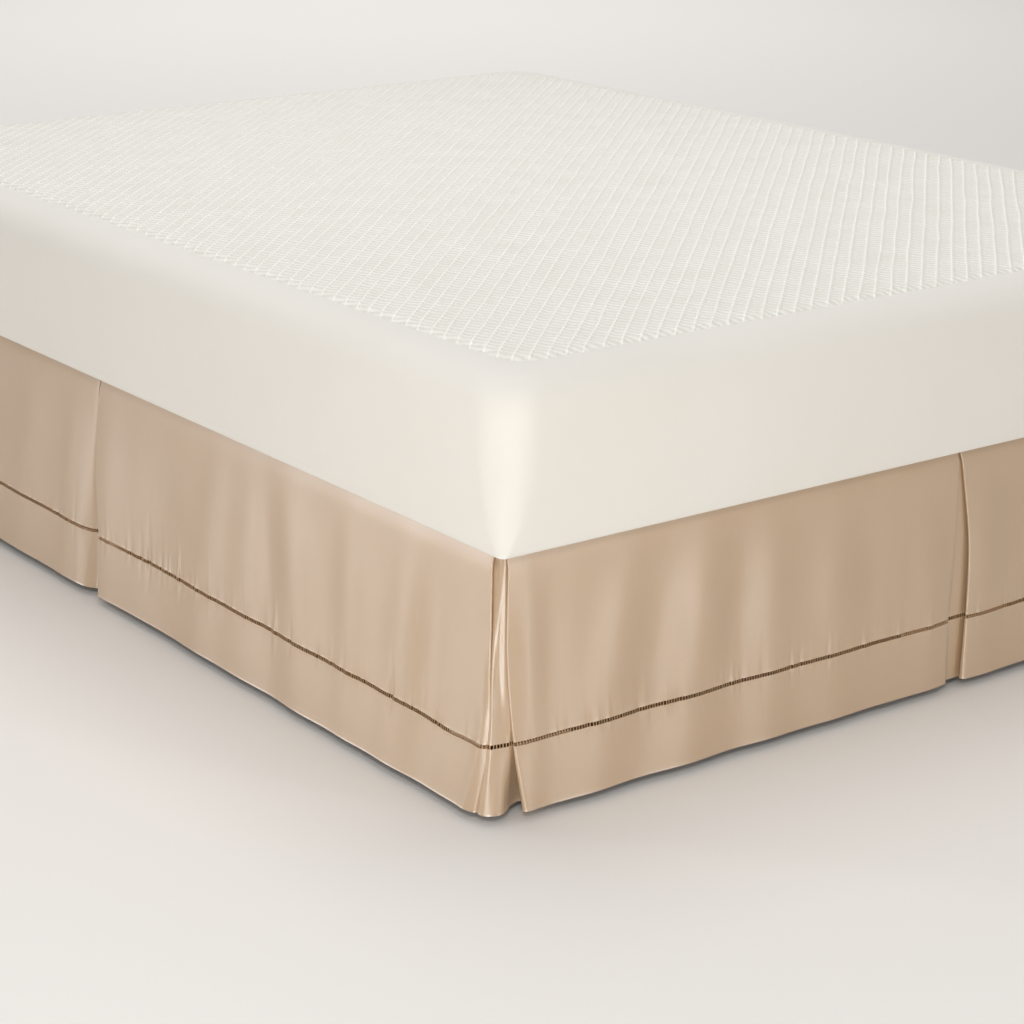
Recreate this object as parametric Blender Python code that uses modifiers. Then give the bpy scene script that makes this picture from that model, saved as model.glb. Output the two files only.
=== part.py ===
"""Bed skirt with inverted pleats and a hemstitched hem, on the box base that it falls over.

The skirt hangs from a deck cloth that lies between base and mattress. It has three sides: both long sides
and the foot end. X runs across the bed, Y along it with the foot end at -Y, Z up from the floor. Metres.
"""

import math
from collections import namedtuple

import bmesh
import bpy
import numpy as np

# Driving sizes of the bed
BED_WIDTH = 1.52
BED_LENGTH = 2.03
HALF_WIDTH = BED_WIDTH / 2
HALF_LENGTH = BED_LENGTH / 2
GAP = 0.0003  # between pieces that touch

# Heights above the floor
HEM_Z = 0.012
DROP = 0.330  # what shows of the skirt, from the mattress down to the hem
MATTRESS_Z = HEM_Z + DROP
DECK_THICK = 0.002
DECK_Z = MATTRESS_Z - GAP - DECK_THICK
BASE_TOP_Z = DECK_Z - GAP
LEAN = 0.0004  # the cloth leans out, so its face reaches this much higher than its back
SKIRT_TOP_Z = DECK_Z - GAP - LEAN
STITCH_Z = HEM_Z + 0.090  # middle of the hemstitch row

# Cloth of the skirt: the hem is turned up, so it is thicker
CLOTH = 0.0018
HEM_CLOTH = 0.0026
STITCH_CLOTH = 0.0008
STITCH_HALF = 0.0028  # half the height of the hemstitch groove
FOLD_RADIUS = 0.0016  # inside of a pressed fold
BACK_FOLD_RADIUS = HEM_CLOTH + 0.0016  # back of the fold whose face sides meet
PLEAT_DEPTH = 0.085  # how far a pleat's cloth runs back behind the panel
SEAM_GAP = 0.0006
SEAM_STEP = 0.003  # the layers part by this much more before the seam
SEAM_SHARE = 0.35  # they lie together over this share of the last facet
FOLD_AIM = 0.010  # the panel's own direction at a fold is taken over this length

# Where an underlay passes, as distances along the side
PAST_TURN = 0.012
BEFORE_EDGE = 0.004
PAST_EDGE = 0.010
BEFORE_SEAM = 0.060

# Base, feet and mattress
BASE_INSET = 0.022
BASE_Z = 0.120
BASE_ROUND = 0.006
FOOT_TOP_RADIUS = 0.032
FOOT_FLOOR_RADIUS = 0.024
FOOT_INSET = 0.085
FOOT_SIDES = 24
FOOT_SHARP_ANGLE = 40  # degrees
MATTRESS_OVERHANG = 0.0095
MATTRESS_THICK = 0.213  # to the edge of its top panel
MATTRESS_CORNER = 0.050
MATTRESS_TOP_ROUND = 0.040
MATTRESS_BOTTOM_ROUND = 0.009
ROUND_SLACK = 0.001  # by which the top round stays inside the faces of the corners
MATTRESS_CUTS = (-0.75, -0.50, -0.25, 0.0, 0.25, 0.50, 0.75)  # of its half width and half length
CROWN = 0.010

# The four heights at which the tables below give a value, from the top of the skirt down
LEVELS = (SKIRT_TOP_Z, 0.200, STITCH_Z, HEM_Z)

# A side as seen from outside: along runs to the viewer's right, out points at the viewer
Side = namedtuple("Side", "length flare start along out")
SIDES = {
    "left": Side(BED_LENGTH, 0.033, (-HALF_WIDTH, HALF_LENGTH), (0, -1), (-1, 0)),
    "foot": Side(BED_WIDTH, 0.014, (-HALF_WIDTH, -HALF_LENGTH), (1, 0), (0, -1)),
    "right": Side(BED_LENGTH, 0.031, (HALF_WIDTH, -HALF_LENGTH), (0, 1), (1, 0)),
}

# A pleat between the end of one side's panel and the start of the next one. Each column holds the values
# at the four levels: how far the panel's edge is from the pleat's middle, and how far it curls in behind the
# panel's plane. The middle of a corner pleat is the corner itself.
Pleat = namedtuple("Pleat", "side at next_side next_at left_edge right_edge left_curl right_curl")
NO_CURL = (0, 0, 0, 0)
PLEATS = {
    "left_mid": Pleat(
        "left", HALF_LENGTH, "left", HALF_LENGTH,
        (-0.0125, -0.014, -0.012, -0.010), (-0.0075, -0.005, 0.010, 0.018),
        (0.000, 0.008, 0.015, 0.016), NO_CURL,
    ),
    "left_corner": Pleat(
        "left", BED_LENGTH, "foot", 0.0,
        (-0.036, -0.014, -0.006, -0.026), (0.003, 0.009, 0.015, 0.017),
        NO_CURL, NO_CURL,
    ),
    "foot_mid": Pleat(
        "foot", HALF_WIDTH, "foot", HALF_WIDTH,
        (-0.0035, -0.008, -0.016, -0.018), (0.0015, 0.019, 0.017, 0.012),
        (0.000, 0.002, 0.003, 0.003), NO_CURL,
    ),
    "right_corner": Pleat(
        "foot", BED_WIDTH, "right", 0.0,
        (-0.028, -0.018, -0.010, -0.022), (0.004, 0.007, 0.012, 0.020),
        NO_CURL, NO_CURL,
    ),
    "right_mid": Pleat(
        "right", HALF_LENGTH, "right", HALF_LENGTH,
        (-0.004, -0.010, -0.012, -0.016), (0.002, 0.012, 0.020, 0.014),
        NO_CURL, (0.000, 0.004, 0.008, 0.008),
    ),
}
CURL_LENGTH = 0.050

# The cloth that shows between a corner pleat's edges: a row for each point of its curve, giving at each
# level how far it lies beyond the first side's plane and beyond the second side's
UNDERLAY_CORNER = {
    "left_corner": (
        ((-0.0080, -0.026), (0.0010, -0.0090), (0.0110, -0.0020), (0.026, -0.013)),
        ((-0.0070, -0.014), (-0.0010, -0.0040), (0.0080, 0.0000), (0.020, -0.001)),
        ((-0.0090, -0.0095), (-0.0060, -0.0045), (0.0020, 0.0000), (0.008, 0.002)),
        ((-0.0150, -0.0100), (-0.0130, -0.0060), (-0.0080, -0.0015), (-0.004, -0.003)),
        ((-0.0260, -0.0105), (-0.0250, -0.0065), (-0.0220, -0.0040), (-0.020, -0.015)),
        ((-0.0400, -0.0105), (-0.0400, -0.0070), (-0.0400, -0.0050), (-0.039, -0.021)),
    ),
    "right_corner": (
        ((-0.0090, -0.019), (-0.0060, -0.0110), (-0.0030, -0.0040), (0.006, -0.011)),
        ((-0.0080, -0.0105), (-0.0040, -0.0020), (0.0000, 0.0030), (0.004, 0.004)),
        ((-0.0110, -0.0100), (-0.0090, 0.0010), (-0.0040, 0.0070), (-0.003, 0.010)),
        ((-0.0180, -0.0105), (-0.0170, 0.0010), (-0.0130, 0.0080), (-0.013, 0.008)),
        ((-0.0280, -0.0105), (-0.0280, 0.0000), (-0.0260, 0.0030), (-0.026, -0.002)),
        ((-0.0420, -0.0105), (-0.0420, -0.0010), (-0.0420, -0.0010), (-0.042, -0.008)),
    ),
}

# The soft folds of each side's panels. A fold runs down from near the deck, where it is flat, to the hem,
# where it stands out by its height, or in by a negative one. It leans from its place at the top to that at
# the hem, both measured along the side.
Fold = namedtuple("Fold", "top hem width height")
FOLDS = {
    "left": (
        Fold(0.14, 0.12, 0.060, 0.0026),
        Fold(0.30, 0.33, 0.070, -0.0026),
        Fold(0.46, 0.43, 0.045, 0.0033),
        Fold(0.62, 0.58, 0.060, -0.0020),
        Fold(0.79, 0.76, 0.050, 0.0020),
        Fold(0.93, 0.92, 0.030, 0.0020),
        Fold(1.03, 1.04, 0.050, 0.0033),
        Fold(1.20, 1.22, 0.075, -0.0033),
        Fold(1.36, 1.33, 0.040, 0.0020),
        Fold(1.46, 1.44, 0.045, 0.0020),
        Fold(1.48, 1.53, 0.035, -0.0020),
        Fold(1.54, 1.61, 0.045, 0.0039),
        Fold(1.70, 1.72, 0.035, 0.0026),
        Fold(1.84, 1.82, 0.035, 0.0026),
        Fold(1.90, 1.89, 0.030, -0.0020),
    ),
    "foot": (
        Fold(0.06, 0.05, 0.028, -0.0013),
        Fold(0.20, 0.13, 0.035, 0.0033),
        Fold(0.25, 0.20, 0.035, -0.0026),
        Fold(0.32, 0.28, 0.035, 0.0039),
        Fold(0.37, 0.355, 0.030, -0.0026),
        Fold(0.43, 0.42, 0.030, 0.0026),
        Fold(0.54, 0.53, 0.035, 0.0026),
        Fold(0.60, 0.60, 0.028, -0.0013),
        Fold(0.70, 0.705, 0.030, 0.0020),
        Fold(0.80, 0.81, 0.028, 0.0026),
        Fold(0.88, 0.90, 0.050, -0.0033),
        Fold(1.05, 1.02, 0.040, 0.0033),
        Fold(1.18, 1.20, 0.050, -0.0020),
        Fold(1.30, 1.33, 0.040, 0.0026),
        Fold(1.44, 1.43, 0.035, -0.0020),
    ),
    "right": (
        Fold(0.10, 0.13, 0.040, 0.0033),
        Fold(0.24, 0.25, 0.045, -0.0026),
        Fold(0.38, 0.35, 0.045, 0.0033),
        Fold(0.55, 0.58, 0.060, -0.0026),
        Fold(0.76, 0.74, 0.050, 0.0026),
        Fold(0.90, 0.93, 0.040, -0.0020),
        Fold(1.14, 1.12, 0.045, 0.0033),
        Fold(1.30, 1.28, 0.060, -0.0020),
        Fold(1.52, 1.55, 0.055, 0.0033),
        Fold(1.72, 1.70, 0.050, -0.0026),
        Fold(1.90, 1.88, 0.045, 0.0026),
    ),
}
FLARE_POWER = 1.1  # the skirt swings out almost evenly on its way down
FOLD_POWER = 1.4  # its soft folds start further down

# The lengths that the skirt is sewn from: the pleats where each one starts and ends, or a plain end
Length = namedtuple("Length", "node side starts ends columns")
SIDE_COLUMNS = 27
FOOT_COLUMNS = 22
LENGTHS = (
    Length("skirt_left_head", "left", None, "left_mid", SIDE_COLUMNS),
    Length("skirt_left_foot", "left", "left_mid", "left_corner", SIDE_COLUMNS),
    Length("skirt_foot_left", "foot", "left_corner", "foot_mid", FOOT_COLUMNS),
    Length("skirt_foot_right", "foot", "foot_mid", "right_corner", FOOT_COLUMNS),
    Length("skirt_right_foot", "right", "right_corner", "right_mid", SIDE_COLUMNS),
    Length("skirt_right_head", "right", "right_mid", None, SIDE_COLUMNS),
)

# Heights of the rows of points down a length, with how thick the cloth is there
ROWS = (
    (HEM_Z, HEM_CLOTH),
    (0.055, HEM_CLOTH),
    (STITCH_Z - STITCH_HALF, HEM_CLOTH),
    (STITCH_Z, STITCH_CLOTH),
    (STITCH_Z + STITCH_HALF, CLOTH),
    (0.130, CLOTH),
    (0.200, CLOTH),
    (0.275, CLOTH),
    (SKIRT_TOP_Z, CLOTH),
)

ARC_STEPS = 2  # facets of a quarter turn in a fold
BACK_STEPS = 3  # facets of the cloth that a pleat turns back


def smooth_at(values, z):
    """The value at height z of a smooth curve through a table's four values, which go from the top down."""
    heights = np.array(LEVELS[::-1])
    values = np.array(values[::-1], float)
    slopes = np.gradient(values, heights)
    i = int(np.clip(np.searchsorted(heights, z) - 1, 0, len(heights) - 2))
    step = heights[i + 1] - heights[i]
    t = (z - heights[i]) / step
    ends = (2 * t**3 - 3 * t**2 + 1) * values[i] + (3 * t**2 - 2 * t**3) * values[i + 1]
    return ends + step * ((t**3 - 2 * t**2 + t) * slopes[i] + (t**3 - t**2) * slopes[i + 1])


def plan(side, along, out):
    """The point of the floor plan that lies this far along a side and this far out of its plane."""
    s = SIDES[side]
    return np.array(s.start) + along * np.array(s.along) + out * np.array(s.out)


def hang(side, along, z):
    """How far the back of a panel hangs out of its side's plane, with its flare and soft folds."""
    fallen = (SKIRT_TOP_Z - z) / (SKIRT_TOP_Z - HEM_Z)
    out = -CLOTH + SIDES[side].flare * fallen**FLARE_POWER
    for fold in FOLDS[side]:
        middle = fold.top + (fold.hem - fold.top) * fallen
        out += fold.height * fallen**FOLD_POWER * math.exp(-(((along - middle) / fold.width) ** 2))
    return out


def edge_place(name, z, which):
    """The side that a pleat's left or right edge is on, and how far along it the edge is at height z."""
    pleat = PLEATS[name]
    if which == "left":
        return pleat.side, pleat.at + smooth_at(pleat.left_edge, z)
    return pleat.next_side, pleat.next_at + smooth_at(pleat.right_edge, z)


def panel_ends(length, z):
    """Where a length's panel starts and ends along its side at height z."""
    start = edge_place(length.starts, z, "right")[1] if length.starts else 0.0
    end = edge_place(length.ends, z, "left")[1] if length.ends else SIDES[length.side].length
    return start, end


def curled(name, z, which, along):
    """How far the back of the panel beside a pleat's edge is out of its side's plane, curl included."""
    side, edge = edge_place(name, z, which)
    curl = smooth_at(PLEATS[name].left_curl if which == "left" else PLEATS[name].right_curl, z)
    return hang(side, along, z) - curl * max(0.0, 1 - abs(along - edge) / CURL_LENGTH) ** 2


def panel_points(length, z):
    """The plan points of a panel's back from its start to its end."""
    start, end = panel_ends(length, z)
    points = []
    for i in range(length.columns):
        along = start + (end - start) * i / (length.columns - 1)
        out = hang(length.side, along, z)
        if length.starts and along - start < CURL_LENGTH:
            out = curled(length.starts, z, "right", along)
        if length.ends and end - along < CURL_LENGTH:
            out = curled(length.ends, z, "left", along)
        points.append(plan(length.side, along, out))
    return points


def quarter_turn(before, corner, after, radius):
    """The corner between two points rounded to an arc, as plan points."""
    corner = np.array(corner)
    into = np.array(before) - corner
    away = np.array(after) - corner
    into /= np.linalg.norm(into)
    away /= np.linalg.norm(away)
    half = math.acos(float(np.clip(into @ away, -1, 1))) / 2
    reach = radius / math.tan(half)
    middle = corner + (into + away) / np.linalg.norm(into + away) * radius / math.sin(half)
    first = corner + into * reach - middle
    last = corner + away * reach - middle
    points = []
    for i in range(ARC_STEPS + 1):
        t = i / ARC_STEPS
        swing = first * (1 - t) + last * t
        points.append(middle + swing / np.linalg.norm(swing) * radius)
    return points


def through(points, steps):
    """A smooth curve through plan points, with so many steps from each to the next."""
    points = [np.array(p) for p in points]
    padded = [2 * points[0] - points[1], *points, 2 * points[-1] - points[-2]]
    curve = []
    for a, b, c, d in zip(padded, padded[1:], padded[2:], padded[3:]):
        square = 2 * a - 5 * b + 4 * c - d
        cube = 3 * b - a - 3 * c + d
        for i in range(steps):
            t = i / steps
            curve.append(b + (t * (c - a) + t**2 * square + t**3 * cube) / 2)
    return [*curve, points[-1]]


def underlay_points(name, z):
    """The plan points of the cloth that shows round a corner between the pleat's edges."""
    pleat = PLEATS[name]
    points = []
    for row in UNDERLAY_CORNER[name]:
        beyond_first = smooth_at([level[0] for level in row], z)
        beyond_second = smooth_at([level[1] for level in row], z)
        points.append(plan(pleat.side, pleat.at + beyond_second, beyond_first))
    return points


def turned_back(name, z, which):
    """The plan points of the cloth that a pleat's edge turns back behind its panel, from the edge inwards."""
    side, edge = edge_place(name, z, which)
    inwards = -1 if which == "left" else 1
    points = []
    for i in range(BACK_STEPS + 1):
        along = edge + inwards * PLEAT_DEPTH * i / BACK_STEPS
        points.append((side, along, curled(name, z, which, along) - 2 * FOLD_RADIUS))
    return points


def pleat_start(length, z):
    """The cloth from a hidden seam behind the panel to the panel's first edge."""
    back = [plan(*place) for place in turned_back(length.starts, z, "right")]
    side, start = edge_place(length.starts, z, "right")
    edge = plan(side, start, curled(length.starts, z, "right", start))
    panel = plan(side, start + FOLD_AIM, hang(side, start, z))
    return [
        *back[:0:-1],
        *quarter_turn(back[1], back[0], edge, FOLD_RADIUS),
        *quarter_turn(back[0], edge, panel, FOLD_RADIUS)[1:],
    ]


def pleat_end(length, z):
    """The cloth from the panel's last edge back behind it, and forward again past the pleat to the seam."""
    name = length.ends
    places = turned_back(name, z, "left")
    back = [plan(*place) for place in places]
    side, end = edge_place(name, z, "left")
    panel = plan(side, end - FOLD_AIM, hang(side, end, z))
    edge = plan(side, end, curled(name, z, "left", end))
    deep = [out - 2 * BACK_FOLD_RADIUS for _, _, out in places]
    turn = places[-1][1]
    far = plan(side, turn, deep[-1])
    met = turned_back(name, z, "right")  # the cloth that this underlay is sewn to
    next_side = met[0][0]
    (_, before_seam, before_back), (_, seam, seam_back) = met[-2:]
    sewn = 2 * HEM_CLOTH + SEAM_GAP
    joined = seam + (before_seam - seam) * SEAM_SHARE
    joined_back = seam_back + (before_back - seam_back) * SEAM_SHARE
    if name in UNDERLAY_CORNER:
        middle, steps = underlay_points(name, z), 2
    else:
        lowest = min(deep[0], met[0][2] - 2 * BACK_FOLD_RADIUS)
        middle = [plan(side, end + PAST_EDGE, lowest), plan(side, seam - BEFORE_SEAM, lowest)]
        steps = 1
    forward = [
        plan(side, turn + PAST_TURN, deep[-1]),
        plan(side, (turn + end) / 2, (deep[1] + deep[2]) / 2),
        plan(side, end - BEFORE_EDGE, deep[0]),
        *middle,
        plan(next_side, before_seam, before_back - sewn - SEAM_STEP),
    ]
    return [
        *quarter_turn(panel, edge, back[0], FOLD_RADIUS),
        *quarter_turn(edge, back[0], back[1], FOLD_RADIUS)[1:],
        *back[1:-1],
        *quarter_turn(back[-2], back[-1], far, BACK_FOLD_RADIUS),
        *quarter_turn(back[-1], far, forward[0], BACK_FOLD_RADIUS)[1:],
        *through(forward, steps),
        plan(next_side, joined, joined_back - sewn),
        plan(next_side, seam, seam_back - sewn),
    ]


def length_points(length, z):
    """The plan points of a whole skirt length's back at height z, from the viewer's left to the right."""
    points = panel_points(length, z)
    if length.starts:
        points = [*pleat_start(length, z), *points[1:]]
    if length.ends:
        points = [*points[:-1], *pleat_end(length, z)]
    return points


def collection_named(name):
    made = bpy.data.collections.new(name)
    bpy.context.scene.collection.children.link(made)
    return made


def material_of(name, colour, roughness, metallic=0.0):
    made = bpy.data.materials.new(name)
    made.use_nodes = True
    shader = made.node_tree.nodes["Principled BSDF"]
    shader.inputs["Base Color"].default_value = (*colour, 1)
    shader.inputs["Roughness"].default_value = roughness
    shader.inputs["Metallic"].default_value = metallic
    return made


def object_from(work, name, collection, material):
    """A mesh object from a bmesh, which it uses up."""
    mesh = bpy.data.meshes.new(name)
    work.to_mesh(mesh)
    work.free()
    made = bpy.data.objects.new(name, mesh)
    made.data.materials.append(material)
    collection.objects.link(made)
    return made


def make_length(length, collection, material):
    """One skirt length: a grid laid on its own back surface, then thickened towards its face."""
    columns = len(length_points(length, HEM_Z))
    work = bmesh.new()
    bmesh.ops.create_grid(work, x_segments=columns - 1, y_segments=len(ROWS) - 1, size=0.5)
    layer = work.verts.layers.deform.new()
    paths = [length_points(length, z) for z, _ in ROWS]
    for v in work.verts:
        column = round((v.co.x + 0.5) * (columns - 1))
        row = round((v.co.y + 0.5) * (len(ROWS) - 1))
        v[layer][0] = ROWS[row][1] / HEM_CLOTH
        v.co = (*paths[row][column], ROWS[row][0])
    made = object_from(work, length.node, collection, material)
    made.vertex_groups.new(name="thickness")
    thick = made.modifiers.new("cloth", "SOLIDIFY")
    thick.thickness = HEM_CLOTH
    thick.offset = 1
    thick.use_even_offset = True
    thick.vertex_group = "thickness"


def make_box(name, low, high, collection, material):
    """A box between two corners, as a bmesh that the caller may go on shaping."""
    size = np.array(high) - np.array(low)
    work = bmesh.new()
    bmesh.ops.create_cube(work, size=1)
    bmesh.ops.scale(work, vec=size, verts=work.verts)
    bmesh.ops.translate(work, vec=(np.array(high) + np.array(low)) / 2, verts=work.verts)
    return object_from(work, name, collection, material)


def make_deck(collection, material):
    """The deck cloth, out to the face of the skirt that hangs from it."""
    edge = (HALF_WIDTH, HALF_LENGTH)
    make_box("deck", (-edge[0], -edge[1], DECK_Z), (*edge, DECK_Z + DECK_THICK), collection, material)


def make_base(collection, material):
    """The box base, set in from the skirt so that the pleats hang free of it."""
    across = HALF_WIDTH - BASE_INSET
    along = HALF_LENGTH - BASE_INSET
    base = make_box(
        "base", (-across, -along, BASE_Z), (across, HALF_LENGTH, BASE_TOP_Z), collection, material
    )
    edges = base.modifiers.new("edges", "BEVEL")
    edges.width = BASE_ROUND
    edges.segments = 2


def make_mattress(collection, material):
    """The mattress: round corners and top edge, and a top panel that rises a little to its middle."""
    across = HALF_WIDTH + MATTRESS_OVERHANG
    along = HALF_LENGTH + MATTRESS_OVERHANG
    top = MATTRESS_Z + MATTRESS_THICK
    work = bmesh.new()
    bmesh.ops.create_cube(work, size=1)
    bmesh.ops.scale(work, vec=(2 * across, 2 * along, MATTRESS_THICK), verts=work.verts)
    bmesh.ops.translate(work, vec=(0, 0, MATTRESS_Z + MATTRESS_THICK / 2), verts=work.verts)
    upright = [e for e in work.edges if abs(e.verts[0].co.z - e.verts[1].co.z) > MATTRESS_THICK / 2]
    bmesh.ops.bevel(work, geom=upright, offset=MATTRESS_CORNER, segments=5, profile=0.5, affect="EDGES")
    for height, radius, segments in (
        (MATTRESS_Z, MATTRESS_BOTTOM_ROUND, 2),
        (top, MATTRESS_TOP_ROUND - ROUND_SLACK, 4),
    ):
        rim = [e for e in work.edges if all(abs(v.co.z - height) < 1e-5 for v in e.verts)]
        bmesh.ops.bevel(work, geom=rim, offset=radius, segments=segments, profile=0.5, affect="EDGES")
    for share in MATTRESS_CUTS:
        cut = (share * across, share * along, 0)
        for normal in ((1, 0, 0), (0, 1, 0)):
            whole = [*work.verts, *work.edges, *work.faces]
            bmesh.ops.bisect_plane(work, geom=whole, plane_co=cut, plane_no=normal)
    for v in work.verts:
        if v.co.z > top - 1e-5:
            v.co.z += CROWN * (1 - (v.co.x / across) ** 2) * (1 - (v.co.y / along) ** 2)
    object_from(work, "mattress", collection, material)


def make_foot(name, x, y, collection, material):
    """A tapered foot from the floor to the underside of the base."""
    height = BASE_Z - GAP
    work = bmesh.new()
    bmesh.ops.create_cone(
        work,
        cap_ends=True,
        segments=FOOT_SIDES,
        radius1=FOOT_FLOOR_RADIUS,
        radius2=FOOT_TOP_RADIUS,
        depth=height,
    )
    made = object_from(work, name, collection, material)
    made.location = (x, y, height / 2)
    made.data.shade_smooth()
    made.data.set_sharp_from_angle(angle=math.radians(FOOT_SHARP_ANGLE))


def make_feet(collection, material):
    across = HALF_WIDTH - FOOT_INSET
    along = HALF_LENGTH - FOOT_INSET
    for row, y in (("front", -along), ("middle", 0.0), ("back", along)):
        for hand, x in (("left", -across), ("right", across)):
            make_foot(f"foot_{row}_{hand}", x, y, collection, material)


def main():
    for old in list(bpy.data.objects):
        bpy.data.objects.remove(old)
    bed = collection_named("bed_skirt")
    sateen = material_of("cotton_sateen", (0.56, 0.42, 0.30), 0.42)
    cover = material_of("protector_knit", (0.78, 0.74, 0.66), 0.70)
    cambric = material_of("base_cloth", (0.62, 0.58, 0.52), 0.85)
    beech = material_of("stained_beech", (0.12, 0.08, 0.05), 0.45)
    for length in LENGTHS:
        make_length(length, bed, sateen)
    make_deck(bed, cambric)
    make_base(bed, cambric)
    make_mattress(bed, cover)
    make_feet(bed, beech)


main()
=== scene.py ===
# %% [markdown]
# # A pleated bed skirt, hemstitched, on its bed
#
# The skirt is champagne cotton sateen. It hangs from a deck cloth that lies between a box base and a mattress,
# on both long sides and the foot end, with an inverted pleat at each foot corner and in the middle of each side.
# Ninety millimetres above its hem runs a row of hemstitch: threads are drawn out of the cloth and those that
# stay are tied into small bundles, so that the row looks like a ladder of tiny windows.
#
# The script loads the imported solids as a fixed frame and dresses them. Everything is in metres. X runs across
# the bed, Y along it with the foot end at -Y, and Z up from the floor.

import math
from collections import namedtuple

import bpy
import numpy as np
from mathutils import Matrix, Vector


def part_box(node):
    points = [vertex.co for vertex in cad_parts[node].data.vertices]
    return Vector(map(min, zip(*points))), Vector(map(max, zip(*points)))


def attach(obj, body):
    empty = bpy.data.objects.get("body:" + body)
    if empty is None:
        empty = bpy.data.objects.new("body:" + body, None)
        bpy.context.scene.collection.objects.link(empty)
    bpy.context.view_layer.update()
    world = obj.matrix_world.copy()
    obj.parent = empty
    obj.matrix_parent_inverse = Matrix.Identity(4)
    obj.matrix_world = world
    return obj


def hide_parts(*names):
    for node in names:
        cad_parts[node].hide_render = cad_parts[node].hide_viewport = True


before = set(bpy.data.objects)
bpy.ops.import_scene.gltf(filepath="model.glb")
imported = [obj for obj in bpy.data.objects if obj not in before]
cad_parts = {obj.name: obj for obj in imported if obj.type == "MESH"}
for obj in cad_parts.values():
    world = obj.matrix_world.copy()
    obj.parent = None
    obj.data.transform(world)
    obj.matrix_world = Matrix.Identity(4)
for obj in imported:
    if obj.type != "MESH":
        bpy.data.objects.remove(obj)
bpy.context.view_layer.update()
print("packed nodes:", ", ".join(sorted(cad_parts)))

# %% [markdown]
# ## The camera first
#
# The photograph is taken from standing height at the near corner, with a long lens: both long edges run away
# at slightly different slopes and hardly converge. The camera's place was worked out from the straight edges of
# mattress, hem and hemstitch. Everything that follows is judged through it, so it is made before any piece.

# %% Camera
CAMERA_PLACE = (-2.4774, -3.3928, 1.3434)
CAMERA_TURN = (72.128, 0.0, -36.029)  # degrees; the first is the tilt up from looking straight down
CAMERA_LENS = 92.2  # millimetres on a 36 mm sensor

bpy.ops.object.select_all(action="DESELECT")
bpy.ops.object.camera_add(location=CAMERA_PLACE, rotation=[math.radians(a) for a in CAMERA_TURN])
camera = bpy.context.object
camera.data.lens = CAMERA_LENS
camera.data.sensor_width = 36
bpy.context.scene.camera = camera
bpy.context.scene.view_settings.view_transform = "Standard"  # the photograph's creams are almost white
print("camera", tuple(round(v, 3) for v in camera.location), "lens", CAMERA_LENS)

# %% [markdown]
# ## Sizes from the frame
#
# The deck cloth gives the bed's width and length, and the skirt's own nodes give the heights of its hem and its
# top. Sizes that no node shows, such as the height of the hemstitch, follow the photograph.

# %% Sizes
HALF_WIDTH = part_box("deck")[1].x
HALF_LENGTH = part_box("deck")[1].y
DECK_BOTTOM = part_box("deck")[0].z
MATTRESS_LOW, MATTRESS_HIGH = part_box("mattress")
BASE_LOW, BASE_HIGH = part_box("base")
HEM_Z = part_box("skirt_foot_left")[0].z
SKIRT_TOP_Z = DECK_BOTTOM - 0.0007  # it hangs just under the deck cloth
STITCH_Z = HEM_Z + 0.090

CLOTH = 0.0007  # sateen with its lining
HEM_CLOTH = 0.0012  # turned up double
SLOT_HALF = 0.0024  # half the height of the windows of the hemstitch
print(f"bed {2 * HALF_WIDTH:.2f} x {2 * HALF_LENGTH:.2f} m, skirt from {SKIRT_TOP_Z:.3f} down to {HEM_Z:.3f}")


# %% [markdown]
# ## Four small helpers
#
# Colours are given as hex codes, which are sRGB, while shaders count in linear light, so one function
# turns the one into the other. Another adds a node with its settings and links. The third starts a
# material and the fourth links its colour and relief at the end.

# %% Helpers for materials
def colour(code):
    """A hex colour as linear red, green, blue and alpha."""
    shares = [int(code[i : i + 2], 16) / 255 for i in (1, 3, 5)]
    return (*[s / 12.92 if s <= 0.04045 else ((s + 0.055) / 1.055) ** 2.4 for s in shares], 1.0)


def add(tree, kind, inputs=(), **settings):
    """A new shader node with its settings. Each input is given a value or is linked from another node's output."""
    made = tree.nodes.new("ShaderNode" + kind)
    for name, value in settings.items():
        setattr(made, name, value)
    for name, value in dict(inputs).items():
        if isinstance(value, bpy.types.NodeSocket):
            tree.links.new(value, made.inputs[name])
        else:
            made.inputs[name].default_value = value
    return made


def start_material(name, **values):
    """A material with its Principled shader set to plain values, and the tree to add to."""
    made = bpy.data.materials.new(name)
    made.use_nodes = True
    shader = made.node_tree.nodes["Principled BSDF"]
    for key, value in values.items():
        shader.inputs[key.replace("_", " ")].default_value = value
    return made, made.node_tree, shader


def finish_material(tree, shader, mix, bump):
    """Links a material's mixed colour and its relief to its shader."""
    tree.links.new(mix.outputs["Result"], shader.inputs["Base Color"])
    tree.links.new(bump.outputs["Normal"], shader.inputs["Normal"])


# %% [markdown]
# ## Cotton sateen
#
# Sateen is woven so that each thread floats over several others before it dips under one. The long floats lie
# side by side and give the cloth its soft gloss, which runs in bands down the folds. The threads are 0.15 mm
# apart, far too fine for the picture, so the weave is drawn as faint streaks about a millimetre apart.
# The pattern follows the cloth through its UV map, which is laid out in metres of cloth. Cotton's own IOR is
# about 1.5. It stands at 2.6 here, raised to bring the bands nearer to the photograph, where they are still
# stronger, so the cloth is glossier than real sateen would be under other light.

# %% Material: cotton sateen
SATEEN_LIGHT = "#C0A383"
SATEEN_DARK = "#B49571"
STREAK = 0.0010  # metres between the streaks
CLOUD = 0.16  # metres across a patch of slightly other tone


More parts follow.
